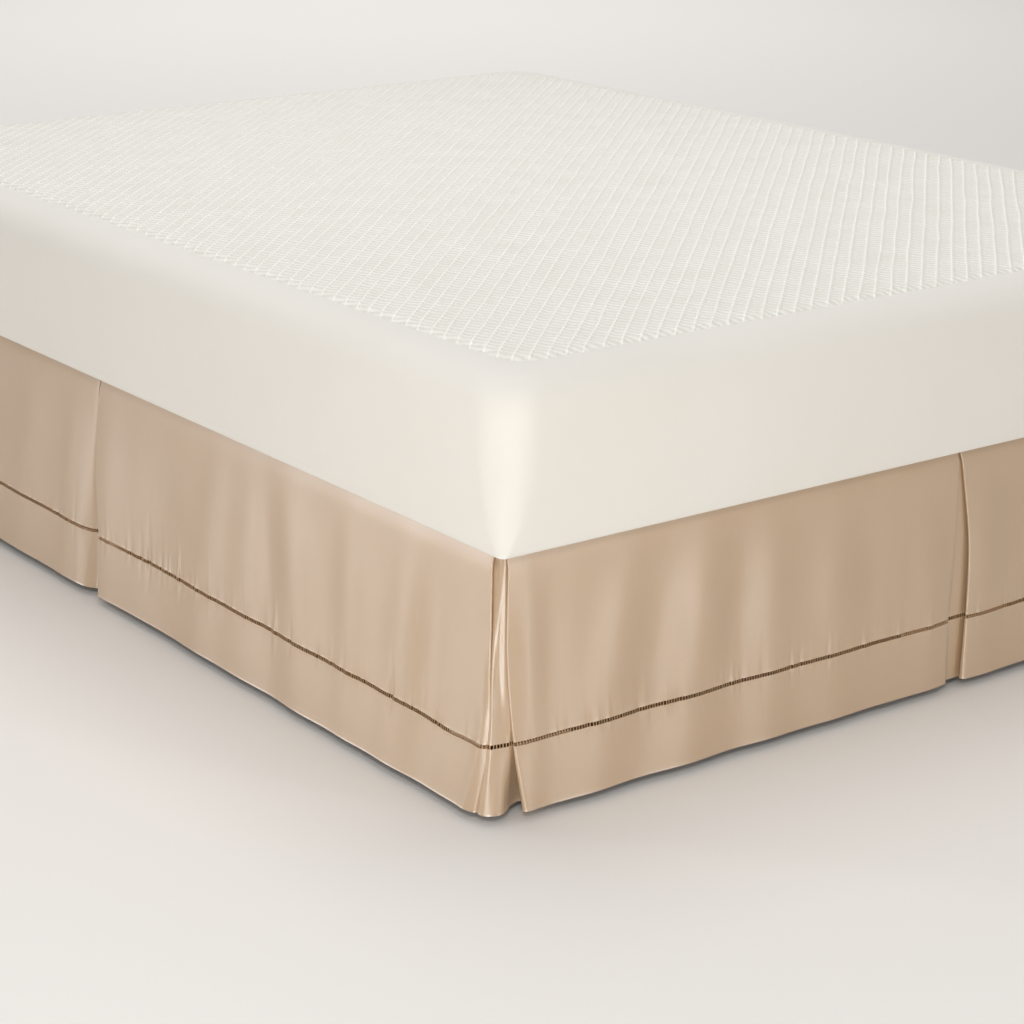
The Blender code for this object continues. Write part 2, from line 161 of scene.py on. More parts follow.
def make_sateen():
    material, tree, shader = start_material(
        "cotton_sateen_champagne",
        Roughness=0.38,
        IOR=2.6,
        Anisotropic=0.85,
        Anisotropic_Rotation=0.25,
        Sheen_Weight=0.1,
        Sheen_Roughness=0.4,
    )
    where = add(tree, "UVMap")
    clouds = add(tree, "TexNoise", {"Vector": where.outputs["UV"], "Scale": 1 / CLOUD, "Detail": 2.0})
    long = add(tree, "Mapping", {"Vector": where.outputs["UV"], "Scale": (1.0, 0.03, 1.0)})
    threads = add(tree, "TexNoise", {"Vector": long.outputs["Vector"], "Scale": 1 / STREAK, "Detail": 3.0})
    tone = add(
        tree,
        "MapRange",
        {"Value": threads.outputs["Fac"], "From Min": 0.3, "From Max": 0.7, "To Min": -0.12, "To Max": 0.12},
    )
    share = add(tree, "Math", {0: clouds.outputs["Fac"], 1: tone.outputs["Result"]}, operation="ADD")
    mix = add(
        tree,
        "Mix",
        {"Factor": share.outputs["Value"], "A": colour(SATEEN_DARK), "B": colour(SATEEN_LIGHT)},
        data_type="RGBA",
    )
    bump = add(tree, "Bump", {"Height": threads.outputs["Fac"], "Strength": 0.10, "Distance": 0.0004})
    floats = add(tree, "Tangent", direction_type="UV_MAP", uv_map="UVMap")
    finish_material(tree, shader, mix, bump)
    tree.links.new(floats.outputs["Tangent"], shader.inputs["Tangent"])
    return material


sateen = make_sateen()
print("material", sateen.name)

# %% [markdown]
# ## Where the skirt's cloth runs
#
# Each side of the bed is a straight line on the floor plan, seen from outside and walked to the viewer's
# right. The skirt flares out a little on its way down. A pleat is where one panel ends and the next begins: the
# panel's cloth turns back behind it, turns forward again, and passes behind the next panel's edge to a hidden
# seam. Simulating this would give a pleat of its own choosing, and the photograph shows a certain one, so the
# plan of the cloth is drawn at four heights, and a smooth curve joins them.

# %% The plan of the skirt
LEVELS = (SKIRT_TOP_Z, 0.200, STITCH_Z, HEM_Z)

Side = namedtuple("Side", "length flare start along out")
SIDES = {
    "left": Side(2 * HALF_LENGTH, 0.033, (-HALF_WIDTH, HALF_LENGTH), (0, -1), (-1, 0)),
    "foot": Side(2 * HALF_WIDTH, 0.014, (-HALF_WIDTH, -HALF_LENGTH), (1, 0), (0, -1)),
    "right": Side(2 * HALF_LENGTH, 0.031, (HALF_WIDTH, -HALF_LENGTH), (0, 1), (1, 0)),
}

# The columns hold the values at the four levels: how far each panel's edge is from the pleat's middle, how far
# the panel curls in near it and, over the last short stretch, rolls in. Negative is out. The middle of a
# corner pleat is the corner itself.
Pleat = namedtuple("Pleat", "side at next_side next_at left_edge right_edge left_curl right_curl left_roll")
FLAT = (0, 0, 0, 0)
PLEATS = {
    "left_mid": Pleat(
        "left", HALF_LENGTH, "left", HALF_LENGTH,
        (-0.0125, -0.014, -0.012, -0.010), (-0.0075, -0.005, 0.010, 0.018),
        (0.000, 0.006, 0.010, 0.010), FLAT, (0.000, 0.002, 0.006, 0.006),
    ),
    "left_corner": Pleat(
        "left", 2 * HALF_LENGTH, "foot", 0.0,
        (-0.026, -0.014, -0.006, -0.020), (0.009, 0.006, 0.011, 0.023),
        (0.000, 0.000, -0.004, -0.004), (0.000, 0.005, 0.003, 0.000), (0.000, 0.001, 0.009, 0.009),
    ),
    "foot_mid": Pleat(
        "foot", HALF_WIDTH, "foot", HALF_WIDTH,
        (-0.0035, -0.008, -0.016, -0.018), (0.0015, 0.019, 0.017, 0.012),
        (0.000, 0.002, 0.003, 0.003), FLAT, FLAT,
    ),
    "right_corner": Pleat(
        "foot", 2 * HALF_WIDTH, "right", 0.0,
        (-0.028, -0.018, -0.010, -0.022), (0.004, 0.007, 0.012, 0.020),
        (0.000, 0.000, -0.002, -0.003), FLAT, (0.000, 0.001, 0.005, 0.006),
    ),
    "right_mid": Pleat(
        "right", HALF_LENGTH, "right", HALF_LENGTH,
        (-0.004, -0.010, -0.012, -0.016), (0.002, 0.012, 0.020, 0.014),
        FLAT, (0.000, 0.004, 0.008, 0.008), (0.000, 0.001, 0.003, 0.004),
    ),
}
CURL_LENGTH = 0.050
ROLL_LENGTHS = (0.010, 0.010, 0.011, 0.024)

# A row for each point of the cloth that shows round a corner: at each level, how far it lies beyond the first
# side's plane and beyond the second side's.
UNDERLAY_CORNER = {
    "left_corner": (
        ((-0.0088, -0.0220), (0.0085, -0.0120), (0.0185, -0.0030), (0.0270, -0.0110)),
        ((-0.0090, -0.0130), (0.0050, -0.0098), (0.0130, -0.0015), (0.0190, -0.0010)),
        ((-0.0095, -0.0095), (0.0005, -0.0088), (0.0040, 0.0004), (0.0070, 0.0020)),
        ((-0.0130, -0.0090), (-0.0060, -0.0038), (-0.0060, 0.0018), (-0.0060, -0.0050)),
        ((-0.0260, -0.0088), (-0.0200, -0.0045), (-0.0160, 0.0008), (-0.0200, -0.0150)),
        ((-0.0400, -0.0088), (-0.0400, -0.0030), (-0.0380, 0.0010), (-0.0400, -0.0190)),
    ),
    "right_corner": (
        ((-0.0088, -0.0240), (-0.0020, -0.0100), (0.0020, -0.0020), (0.0060, -0.0100)),
        ((-0.0088, -0.0120), (-0.0010, -0.0010), (0.0010, 0.0050), (0.0040, 0.0040)),
        ((-0.0088, -0.0088), (-0.0040, 0.0030), (-0.0030, 0.0090), (-0.0030, 0.0100)),
        ((-0.0160, -0.0088), (-0.0140, 0.0040), (-0.0120, 0.0100), (-0.0130, 0.0080)),
        ((-0.0270, -0.0088), (-0.0270, 0.0040), (-0.0250, 0.0080), (-0.0260, -0.0020)),
        ((-0.0420, -0.0088), (-0.0420, 0.0030), (-0.0420, 0.0060), (-0.0420, -0.0080)),
    ),
}
print("pleats:", ", ".join(PLEATS))

# %% [markdown]
# ## Soft folds
#
# Between the pleats the sateen hangs in shallow folds. Each runs down from near the deck, where it is flat, to
# the hem, and leans a little on the way. They are placed where the photograph shows their bright and dark
# bands, as soft ridges and, with a negative height, troughs.

# %% Folds
Fold = namedtuple("Fold", "top hem width height")
FOLD_ROWS = {
    "left": (
        (0.14, 0.12, 0.060, 0.0026), (0.30, 0.33, 0.070, -0.0026), (0.46, 0.43, 0.045, 0.0033),
        (0.62, 0.58, 0.060, -0.0020), (0.79, 0.76, 0.050, 0.0020), (0.93, 0.92, 0.030, 0.0020),
        (1.03, 1.04, 0.050, 0.0033), (1.20, 1.22, 0.075, -0.0033), (1.36, 1.33, 0.040, 0.0020),
        (1.46, 1.44, 0.045, 0.0020), (1.48, 1.53, 0.035, -0.0020), (1.54, 1.61, 0.045, 0.0039),
        (1.70, 1.72, 0.035, 0.0026), (1.84, 1.82, 0.035, 0.0026), (1.90, 1.89, 0.030, -0.0020),
    ),
    "foot": (
        (0.035, 0.030, 0.018, 0.0016), (0.070, 0.062, 0.026, -0.0013), (0.20, 0.13, 0.035, 0.0033),
        (0.25, 0.20, 0.035, -0.0026), (0.32, 0.28, 0.035, 0.0039), (0.37, 0.355, 0.030, -0.0026),
        (0.43, 0.42, 0.030, 0.0026), (0.54, 0.53, 0.035, 0.0026), (0.60, 0.60, 0.028, -0.0013),
        (0.70, 0.705, 0.030, 0.0020), (0.80, 0.81, 0.028, 0.0026), (0.88, 0.90, 0.050, -0.0033),
        (1.05, 1.02, 0.040, 0.0033), (1.18, 1.20, 0.050, -0.0020), (1.30, 1.33, 0.040, 0.0026),
        (1.44, 1.43, 0.035, -0.0020),
    ),
    "right": (
        (0.10, 0.13, 0.040, 0.0033), (0.24, 0.25, 0.045, -0.0026), (0.38, 0.35, 0.045, 0.0033),
        (0.55, 0.58, 0.060, -0.0026), (0.76, 0.74, 0.050, 0.0026), (0.90, 0.93, 0.040, -0.0020),
        (1.14, 1.12, 0.045, 0.0033), (1.30, 1.28, 0.060, -0.0020), (1.52, 1.55, 0.055, 0.0033),
        (1.72, 1.70, 0.050, -0.0026), (1.90, 1.88, 0.045, 0.0026),
    ),
}
FOLDS = {side: [Fold(*row) for row in rows] for side, rows in FOLD_ROWS.items()}
FLARE_POWER = 1.1  # the skirt swings out almost evenly on its way down
TUCK = 0.0045  # the seam on the deck lies this far under the mattress's edge
TUCK_HEIGHT = 0.022
FOLD_SHARES = (0.0, 1.0, 0.7, 0.6)  # of a fold's height at the four levels; the doubled hem is stiff and straight


def smooth_at(values, z):
    """The value at height z of a smooth curve through a table's four values, which go from the top down."""
    heights = np.array(LEVELS[::-1])
    values = np.array(values[::-1], float)
    slopes = np.gradient(values, heights)
    i = int(np.clip(np.searchsorted(heights, z) - 1, 0, len(heights) - 2))
    step = heights[i + 1] - heights[i]
    t = (z - heights[i]) / step
    ends = (2 * t**3 - 3 * t**2 + 1) * values[i] + (3 * t**2 - 2 * t**3) * values[i + 1]
    return ends + step * ((t**3 - 2 * t**2 + t) * slopes[i] + (t**3 - t**2) * slopes[i + 1])


def plan(side, along, out):
    """The point of the floor plan that lies this far along a side and this far out of its plane."""
    s = SIDES[side]
    return np.array(s.start) + along * np.array(s.along) + out * np.array(s.out)


def hang(side, along, z):
    """How far the back of a panel hangs out of its side's plane, with its flare and soft folds."""
    fallen = (SKIRT_TOP_Z - z) / (SKIRT_TOP_Z - HEM_Z)
    out = -CLOTH + SIDES[side].flare * fallen**FLARE_POWER
    out -= TUCK * max(0.0, 1 - (SKIRT_TOP_Z - z) / TUCK_HEIGHT) ** 2
    share = smooth_at(FOLD_SHARES, z)
    for fold in FOLDS[side]:
        middle = fold.top + (fold.hem - fold.top) * fallen
        out += fold.height * share * math.exp(-(((along - middle) / fold.width) ** 2))
    return out


print({side: len(folds) for side, folds in FOLDS.items()}, "soft folds")

# %% [markdown]
# ## From plan to path
#
# At any height, a skirt length is one path of plan points: the cloth turned back at its start, its panel, and
# the turned-back cloth and underlay of the pleat at its end. Every height has the same number of points, so that
# the paths can be stacked into a grid. Pressed folds are small arcs, and the underlay follows a smooth curve.

# %% Path of a skirt length
FOLD_RADII = (0.0009, 0.0013, 0.0018, 0.0040)  # of a pleat's folded edge at the four levels
BACK_FOLD_RADII = (0.0010, 0.0014, 0.0016, 0.0016)
PLEAT_DEPTH = 0.085  # how far a pleat's cloth runs back behind the panel
SEAM_GAP = 0.0010
ARC_STEPS = 4
BACK_STEPS = 12
FOLD_TRIM = 1.4  # the straight cloth starts this many fold radii away from a pleat's edge
END_SPAN = 0.030  # the stretch next to a pleat's edge that gets more columns
END_COLUMNS = 16


def edge_place(name, z, which):
    """The side that a pleat's left or right edge is on, and how far along it the edge is at height z."""
    pleat = PLEATS[name]
    if which == "left":
        return pleat.side, pleat.at + smooth_at(pleat.left_edge, z)
    return pleat.next_side, pleat.next_at + smooth_at(pleat.right_edge, z)


def curled(name, z, which, along):
    """How far the back of the panel beside a pleat's edge is out of its side's plane, curl and roll included."""
    side, edge = edge_place(name, z, which)
    pleat = PLEATS[name]
    from_edge = abs(along - edge)
    curl = smooth_at(pleat.left_curl if which == "left" else pleat.right_curl, z)
    roll = smooth_at(pleat.left_roll, z) if which == "left" else 0.0
    out = hang(side, along, z) - curl * max(0.0, 1 - from_edge / CURL_LENGTH) ** 2
    return out - roll * max(0.0, 1 - from_edge / smooth_at(ROLL_LENGTHS, z)) ** 2


def panel_points(length, z):
    """The plan points of a panel's back from its start to its end, closest together near its ends."""
    start = edge_place(length.starts, z, "right")[1] if length.starts else 0.0
    end = edge_place(length.ends, z, "left")[1] if length.ends else SIDES[length.side].length
    close = np.linspace(FOLD_TRIM * smooth_at(FOLD_RADII, z), END_SPAN, END_COLUMNS, endpoint=False)
    between = np.linspace(start + END_SPAN, end - END_SPAN, length.columns)
    points = []
    for along in (*(start + close), *between, *(end - close[::-1])):
        out = hang(length.side, along, z)
        if length.starts and along - start < CURL_LENGTH:
            out = curled(length.starts, z, "right", along)
        if length.ends and end - along < CURL_LENGTH:
            out = curled(length.ends, z, "left", along)
        points.append(plan(length.side, along, out))
    return points


def quarter_turn(before, corner, after, radius):
    """The corner between two points rounded to an arc, as plan points."""
    into = before - corner
    away = after - corner
    into /= np.linalg.norm(into)
    away /= np.linalg.norm(away)
    half = math.acos(float(np.clip(into @ away, -1, 1))) / 2
    reach = radius / math.tan(half)
    middle = corner + (into + away) / np.linalg.norm(into + away) * radius / math.sin(half)
    first = corner + into * reach - middle
    last = corner + away * reach - middle
    points = []
    for i in range(ARC_STEPS + 1):
        swing = first * (1 - i / ARC_STEPS) + last * i / ARC_STEPS
        points.append(middle + swing / np.linalg.norm(swing) * radius)
    return points


def through(points, steps):
    """A smooth curve through plan points, with so many steps from each to the next."""
    padded = [2 * points[0] - points[1], *points, 2 * points[-1] - points[-2]]
    curve = []
    for a, b, c, d in zip(padded, padded[1:], padded[2:], padded[3:]):
        square = 2 * a - 5 * b + 4 * c - d
        cube = 3 * b - a - 3 * c + d
        for i in range(steps):
            t = i / steps
            curve.append(b + (t * (c - a) + t**2 * square + t**3 * cube) / 2)
    return [*curve, points[-1]]


def behind(name, z, which, from_edge, depth):
    """A place behind the panel: at this distance inwards from a pleat's edge and this depth square to the cloth."""
    side, edge = edge_place(name, z, which)
    inwards = -1 if which == "left" else 1
    along = edge + inwards * from_edge
    out = curled(name, z, which, along)
    slope = (curled(name, z, which, along + inwards * 0.001) - out) / (inwards * 0.001)
    length = math.hypot(1, slope)
    return side, along + depth * slope / length, out - depth / length


def layer(name, z, which, depth):
    """The places of a pleat's cloth behind its panel, from the edge inwards, closest together at the edge."""
    first = FOLD_TRIM * smooth_at(FOLD_RADII, z)
    steps = [first + (PLEAT_DEPTH - first) * (i / BACK_STEPS) ** 1.4 for i in range(BACK_STEPS + 1)]
    return [behind(name, z, which, step, depth) for step in steps]


def fold(name, z, which):
    """The folded edge of a pleat as plan points, from the cloth behind the panel to the panel."""
    radius = smooth_at(FOLD_RADII, z)
    back, corner, edge, panel = (
        plan(*behind(name, z, which, step * radius, depth * radius))
        for step, depth in ((FOLD_TRIM, 2), (0, 2), (0, 0), (FOLD_TRIM, 0))
    )
    return [*quarter_turn(back, corner, edge, radius), *quarter_turn(corner, edge, panel, radius)[1:]]


def pleat_start(length, z):
    """The cloth from a hidden seam behind the panel to the panel's first edge."""
    places = layer(length.starts, z, "right", 2 * smooth_at(FOLD_RADII, z))
    return [*[plan(*place) for place in places[::-1]], *fold(length.starts, z, "right")]


def pleat_end(length, z):
    """The cloth from the panel's last edge back behind it, and forward again past the pleat to the seam."""
    name = length.ends
    pleat = PLEATS[name]
    first_depth = 2 * smooth_at(FOLD_RADII, z)
    back_radius = smooth_at(BACK_FOLD_RADII, z)
    places = layer(name, z, "left", first_depth)
    back = [plan(*place) for place in places]
    deep = layer(name, z, "left", first_depth + 2 * back_radius)
    side, turn, _ = places[-1]
    far = plan(side, turn, deep[-1][2])
    met = layer(name, z, "right", first_depth)  # the cloth that this underlay is sewn to
    seam_side, seam, seam_back = met[-1]
    _, before_seam, before_back = met[3 * BACK_STEPS // 4]
    sewn = 2 * CLOTH + SEAM_GAP
    if name in UNDERLAY_CORNER:
        middle = []
        for row in UNDERLAY_CORNER[name]:
            beyond_first = smooth_at([level[0] for level in row], z)
            beyond_second = smooth_at([level[1] for level in row], z)
            middle.append(plan(pleat.side, pleat.at + beyond_second, beyond_first))
    else:
        _, end = edge_place(name, z, "left")
        lowest = min(deep[0][2], met[0][2] - 2 * back_radius)
        middle = [plan(side, end + 0.010, lowest), plan(side, seam - 0.060, lowest)]
    forward = [
        plan(side, turn + 0.012, deep[-1][2]),
        *[plan(*deep[i]) for i in range(BACK_STEPS - 3, 0, -2)],
        *middle,
        plan(seam_side, before_seam, before_back - sewn - 0.003),
        plan(seam_side, seam, seam_back - sewn),
    ]
    return [
        *fold(name, z, "left")[::-1],
        *back[:-1],
        *quarter_turn(back[-2], back[-1], far, back_radius),
        *quarter_turn(back[-1], far, forward[0], back_radius)[1:],
        *through(forward, length.underlay_steps),
    ]


def length_path(length, z):
    """The plan points of a whole skirt length's back at height z, from the viewer's left to the right."""
    start = pleat_start(length, z) if length.starts else []
    end = pleat_end(length, z) if length.ends else []
    return [*start, *panel_points(length, z), *end]


# %% [markdown]
# ## The lengths and their rows
#
# The skirt is sewn from six lengths, one for each panel. Points along a panel are about 2.5 mm apart, close
# enough for the little puckers beside the hemstitch. The rows of points lie closest together there too, and the
# row of windows itself is a gap between two of them.

# %% Lengths and rows
Length = namedtuple("Length", "node side starts ends columns underlay_steps")
SIDE_COLUMNS = 400
FOOT_COLUMNS = 300
LENGTHS = (
    Length("skirt_left_head", "left", None, "left_mid", SIDE_COLUMNS, 7),
    Length("skirt_left_foot", "left", "left_mid", "left_corner", SIDE_COLUMNS, 6),
    Length("skirt_foot_left", "foot", "left_corner", "foot_mid", FOOT_COLUMNS, 7),
    Length("skirt_foot_right", "foot", "foot_mid", "right_corner", FOOT_COLUMNS, 6),
    Length("skirt_right_foot", "right", "right_corner", "right_mid", SIDE_COLUMNS, 7),
    Length("skirt_right_head", "right", "right_mid", None, SIDE_COLUMNS, 7),
)

HEM_LIP_HEIGHT = 0.0030  # the pressed lower edge
LIP_ROWS = 4
HEM_ROWS = 16
UPPER_ROWS = 32
HEM_SPACING = 1.4  # above 1, rows crowd towards the hemstitch
UPPER_SPACING = 1.7

lip_rows = HEM_Z + HEM_LIP_HEIGHT * np.linspace(0, 1, LIP_ROWS, endpoint=False)
hem_start = HEM_Z + HEM_LIP_HEIGHT
to_stitch = 1 - np.linspace(1, 0, HEM_ROWS - LIP_ROWS) ** HEM_SPACING
hem_rows = hem_start + (STITCH_Z - SLOT_HALF - hem_start) * to_stitch
upper_start = STITCH_Z + SLOT_HALF
upper_rows = upper_start + (SKIRT_TOP_Z - upper_start) * np.linspace(0, 1, UPPER_ROWS) ** UPPER_SPACING
ROWS = np.concatenate([lip_rows, hem_rows, upper_rows])
print(len(ROWS), "rows,", HEM_ROWS, "of them below the hemstitch")

# %% [markdown]
# ## Small relief beside the hemstitch
#
# Drawing threads out and tying the rest pulls the cloth together, so it puckers: short ripples run up from the
# row for a couple of centimetres and down for a little less. The row itself dips where the cloth bulges beside a
# pleat. The hem is pressed, and its lower edge turns out by a hair, which is why it catches the light as a thin
# line. All of this is laid on the path as small offsets along the cloth's own normal.

# %% Puckers and dips
HEM_LIP = 0.0010
SLOT_LIP = 0.0004
SLOT_LIP_REACH = 0.0015

# Spacing and width are in metres along the row, and up and down are how far the ripples run from it.
Pucker = namedtuple("Pucker", "spacing width height up down")
PUCKERS = (
    Pucker(0.0042, 0.0015, 0.00030, 0.005, 0.004),
    Pucker(0.0110, 0.0030, 0.00060, 0.013, 0.008),
    Pucker(0.0450, 0.0040, 0.00110, 0.020, 0.012),
)


Dip = namedtuple("Dip", "node at width drop")
DIPS = (
    Dip("skirt_left_foot", 0.03, 0.035, 0.006),
    Dip("skirt_left_foot", 1.00, 0.060, 0.004),
)


def ripples(distance, pucker, chance):
    """The ripples of one size at each distance along the cloth, without units: about -1 to 1."""
    height = np.zeros_like(distance)
    for place in np.arange(0, distance[-1], pucker.spacing):
        middle = place + chance.normal(0, pucker.spacing / 2)
        width = pucker.width * chance.uniform(0.7, 1.4)
        height += chance.normal(0, 1) * np.exp(-(((distance - middle) / width) ** 2))
    return height


def outward(points):
    """Unit normals of a grid of points, on the side of the cloth's face."""
    normal = np.cross(np.gradient(points, axis=1), np.gradient(points, axis=0))
    return normal / np.linalg.norm(normal, axis=2, keepdims=True)


def lay_cloth(length, seed):
    """The grid of points of a skirt length, row by row from the hem up, and each column's distance along it."""
    points = np.array([[(*p, z) for p in length_path(length, z)] for z in ROWS])
    middle = points[HEM_ROWS, :, :2]
    distance = np.concatenate([[0], np.cumsum(np.linalg.norm(np.diff(middle, axis=0), axis=1))])
    above = np.clip(ROWS - STITCH_Z, 0, None)[:, None]
    below = np.clip(STITCH_Z - ROWS, 0, None)[:, None]
    chance = np.random.default_rng(seed)
    relief = np.zeros(points.shape[:2])
    for pucker in PUCKERS:
        fade = np.where(above > 0, np.exp(-above / pucker.up), np.exp(-below / pucker.down))
        relief += pucker.height * fade * ripples(distance, pucker, chance)
    relief += HEM_LIP * np.clip(1 - (ROWS[:, None] - HEM_Z) / HEM_LIP_HEIGHT, 0, 1) ** 2
    relief += SLOT_LIP * np.exp(-((above + below - SLOT_HALF) / SLOT_LIP_REACH))
    points += outward(points) * relief[:, :, None]
    pull = 1 - np.clip(above / (SKIRT_TOP_Z - STITCH_Z) + below / (STITCH_Z - HEM_Z), 0, 1)
    for dip in DIPS:
        if dip.node == length.node:
            points[:, :, 2] -= dip.drop * pull * np.exp(-(((distance - dip.at) / dip.width) ** 2))
    return points, distance


grids = {length.node: lay_cloth(length, seed) for seed, length in enumerate(LENGTHS)}
for node, (points, distance) in grids.items():
    print(node, points.shape[:2], f"{distance[-1]:.2f} m of cloth")

# %% [markdown]
# ## The sheets
#
# A flat grid is added for each length and its points are laid on the path, the way cloth is laid on a form.
# Its UV map keeps the flat cloth in metres, for the weave. Then the row of windows is opened by deleting
# its faces, and Solidify gives the cloth its thickness, double in the hem.


# %% Build the skirt lengths
def select_only(piece):
    bpy.ops.object.select_all(action="DESELECT")
    piece.select_set(True)
    bpy.context.view_layer.objects.active = piece


def apply_modifier(piece, kind, **settings):
    """Adds a modifier with its settings and applies it."""
    made = piece.modifiers.new(kind.lower(), kind)
    for name, value in settings.items():
        setattr(made, name, value)
    select_only(piece)
    bpy.ops.object.modifier_apply(modifier=made.name)


def grid_piece(name, points, flat):
    """A grid object laid on an array of points, with a UV map from an array of flat places in metres."""
    rows, columns = points.shape[:2]
    bpy.ops.object.select_all(action="DESELECT")
    bpy.ops.mesh.primitive_grid_add(x_subdivisions=columns - 1, y_subdivisions=rows - 1, size=1)
    piece = bpy.context.object
    piece.name = piece.data.name = name
    piece.data.vertices.foreach_set("co", points.reshape(-1))
    corner_points = np.empty(len(piece.data.loops), int)
    piece.data.loops.foreach_get("vertex_index", corner_points)
    piece.data.uv_layers[0].data.foreach_set("uv", flat.reshape(-1, 2)[corner_points].reshape(-1))
    piece.data.update()
    return piece


def make_length(length):
    points, distance = grids[length.node]
    columns = len(distance)
    flat = np.stack(np.broadcast_arrays(distance[None, :], ROWS[:, None]), axis=2)
    piece = grid_piece(length.node.replace("skirt", "sateen"), points, flat)
    thickness = piece.vertex_groups.new(name="thickness")
    thickness.add(range(HEM_ROWS * columns), 1.0, "REPLACE")
    thickness.add(range(HEM_ROWS * columns, len(ROWS) * columns), CLOTH / HEM_CLOTH, "REPLACE")
    select_only(piece)
    bpy.ops.object.mode_set(mode="EDIT")
    bpy.ops.mesh.select_all(action="DESELECT")
    bpy.ops.object.mode_set(mode="OBJECT")
    for face in piece.data.polygons:
        face.select = min(face.vertices) < HEM_ROWS * columns <= max(face.vertices)
    bpy.ops.object.mode_set(mode="EDIT")
    bpy.ops.mesh.select_mode(type="FACE")
    bpy.ops.mesh.delete(type="FACE")
    bpy.ops.object.mode_set(mode="OBJECT")
    apply_modifier(
        piece, "SOLIDIFY", thickness=HEM_CLOTH, offset=1, use_even_offset=True, vertex_group="thickness"
    )
    piece.data.materials.append(sateen)
    bpy.ops.object.shade_smooth_by_angle(angle=math.radians(50))
    return piece


sheets = {length.node: make_length(length) for length in LENGTHS}
for node, piece in sheets.items():
    print(piece.name, len(piece.data.polygons), "faces")

# %% [markdown]
# ## The ladder of hemstitch
#
# Every four millimetres a bundle of threads bridges the windows' row. There are over fifteen hundred
# of them, so one is modelled, pinched in its middle where the sewing thread ties it, and copied to its places
# along the row. Each copy spans from the cloth below to the cloth above, wherever folds have carried them.

# %% Build the thread bundles
BUNDLE_SPACING = 0.0042
BUNDLE_RADIUS = 0.0009
BUNDLE_WAIST = 0.75  # share of its radius in the middle
BUNDLE_DEPTH = 0.6  # share of its width
BUNDLE_OVERLAP = 0.0006  # how far it runs into the cloth at either end


def model_bundle():
    """One bundle, standing up, a unit tall and centred on the origin."""
    bpy.ops.object.select_all(action="DESELECT")
    bpy.ops.mesh.primitive_cylinder_add(vertices=6, radius=BUNDLE_RADIUS, depth=1)
    bundle = bpy.context.object
    bpy.ops.object.mode_set(mode="EDIT")
    bpy.ops.mesh.select_all(action="DESELECT")
    bpy.ops.object.mode_set(mode="OBJECT")
    for edge in bundle.data.edges:
        ends = [bundle.data.vertices[v].co.z for v in edge.vertices]
        edge.select = ends[0] * ends[1] < 0
    bpy.ops.object.mode_set(mode="EDIT")
    bpy.ops.mesh.select_mode(type="EDGE")
    bpy.ops.mesh.subdivide(number_cuts=1)
    bpy.ops.object.mode_set(mode="OBJECT")
    for vertex in bundle.data.vertices:
        vertex.select = abs(vertex.co.z) < 0.1
    bpy.ops.object.mode_set(mode="EDIT")
    bpy.ops.mesh.select_mode(type="VERT")
    bpy.ops.transform.resize(value=(BUNDLE_WAIST, BUNDLE_WAIST, 1))
    bpy.ops.mesh.select_all(action="SELECT")
    bpy.ops.transform.resize(value=(1, BUNDLE_DEPTH, 1))
    bpy.ops.object.mode_set(mode="OBJECT")
    return bundle


def copies_of(shape, frames):
    """One mesh holding a copy of a shape for each frame: a row of four vectors, its x, y, z and place."""
    shape_points = np.array([v.co for v in shape.data.vertices])
    faces = [tuple(f.vertices) for f in shape.data.polygons]
    stretched = np.einsum("pa,nac->npc", shape_points, frames[:, :3]) + frames[:, None, 3]
    count = len(shape_points)
    every_face = [tuple(i + n * count for i in face) for n in range(len(frames)) for face in faces]
    mesh = bpy.data.meshes.new("copies")
    mesh.from_pydata(stretched.reshape(-1, 3).tolist(), [], every_face)
    return mesh


def make_ladder(length, bundle):
    points, distance = grids[length.node]
    lower, upper = points[HEM_ROWS - 1], points[HEM_ROWS]
    face_out = outward(points)[HEM_ROWS]
    places = np.arange(BUNDLE_SPACING / 2, distance[-1], BUNDLE_SPACING)
    low, high, out = (
        np.stack([np.interp(places, distance, line[:, i]) for i in range(3)], axis=1)
        for line in (lower, upper, face_out)
    )
    out /= np.linalg.norm(out, axis=1, keepdims=True)
    up = high - low
    up *= 1 + 2 * BUNDLE_OVERLAP / np.linalg.norm(up, axis=1, keepdims=True)
    across = np.cross(up, out)
    across /= np.linalg.norm(across, axis=1, keepdims=True)
    place = (low + high) / 2 + out * CLOTH / 2
    mesh = copies_of(bundle, np.stack([across, out, up, place], axis=1))
    name = length.node.replace("skirt", "hemstitch")
    mesh.name = name
    piece = bpy.data.objects.new(name, mesh)
    bpy.context.collection.objects.link(piece)
    select_only(piece)
    bpy.ops.object.shade_smooth_by_angle(angle=math.radians(60))
    return piece


bundle = model_bundle()
ladders = {length.node: make_ladder(length, bundle) for length in LENGTHS}
bpy.data.objects.remove(bundle)
for piece in ladders.values():
    print(piece.name, len(piece.data.polygons), "faces")

# %% [markdown]
# ## Mercerised thread
#
# The bundles are the cloth's own cotton threads, duller than the sateen beside them. Their two colours, mixed by a
# fibre noise, are painted darker and browner than the sateen's, as painted shade for the shade inside their
# windows.


# %% Material: drawn thread
def make_thread():
    material, tree, shader = start_material("cotton_thread_drawn_painted_shade", Roughness=0.6, IOR=1.5, Sheen_Weight=0.3)
    where = add(tree, "TexCoord")
    fibres = add(tree, "TexNoise", {"Vector": where.outputs["Object"], "Scale": 900.0, "Detail": 2.0})
    # Painted shade: both thread colours are darker and browner than the sateen's, for the shade of the windows.
    mix = add(
        tree,
        "Mix",
        {"Factor": fibres.outputs["Fac"], "A": colour("#9A6A3E"), "B": colour("#D2A878")},
        data_type="RGBA",
    )
    tree.links.new(mix.outputs["Result"], shader.inputs["Base Color"])
    return material


thread = make_thread()
for piece in ladders.values():
    piece.data.materials.append(thread)
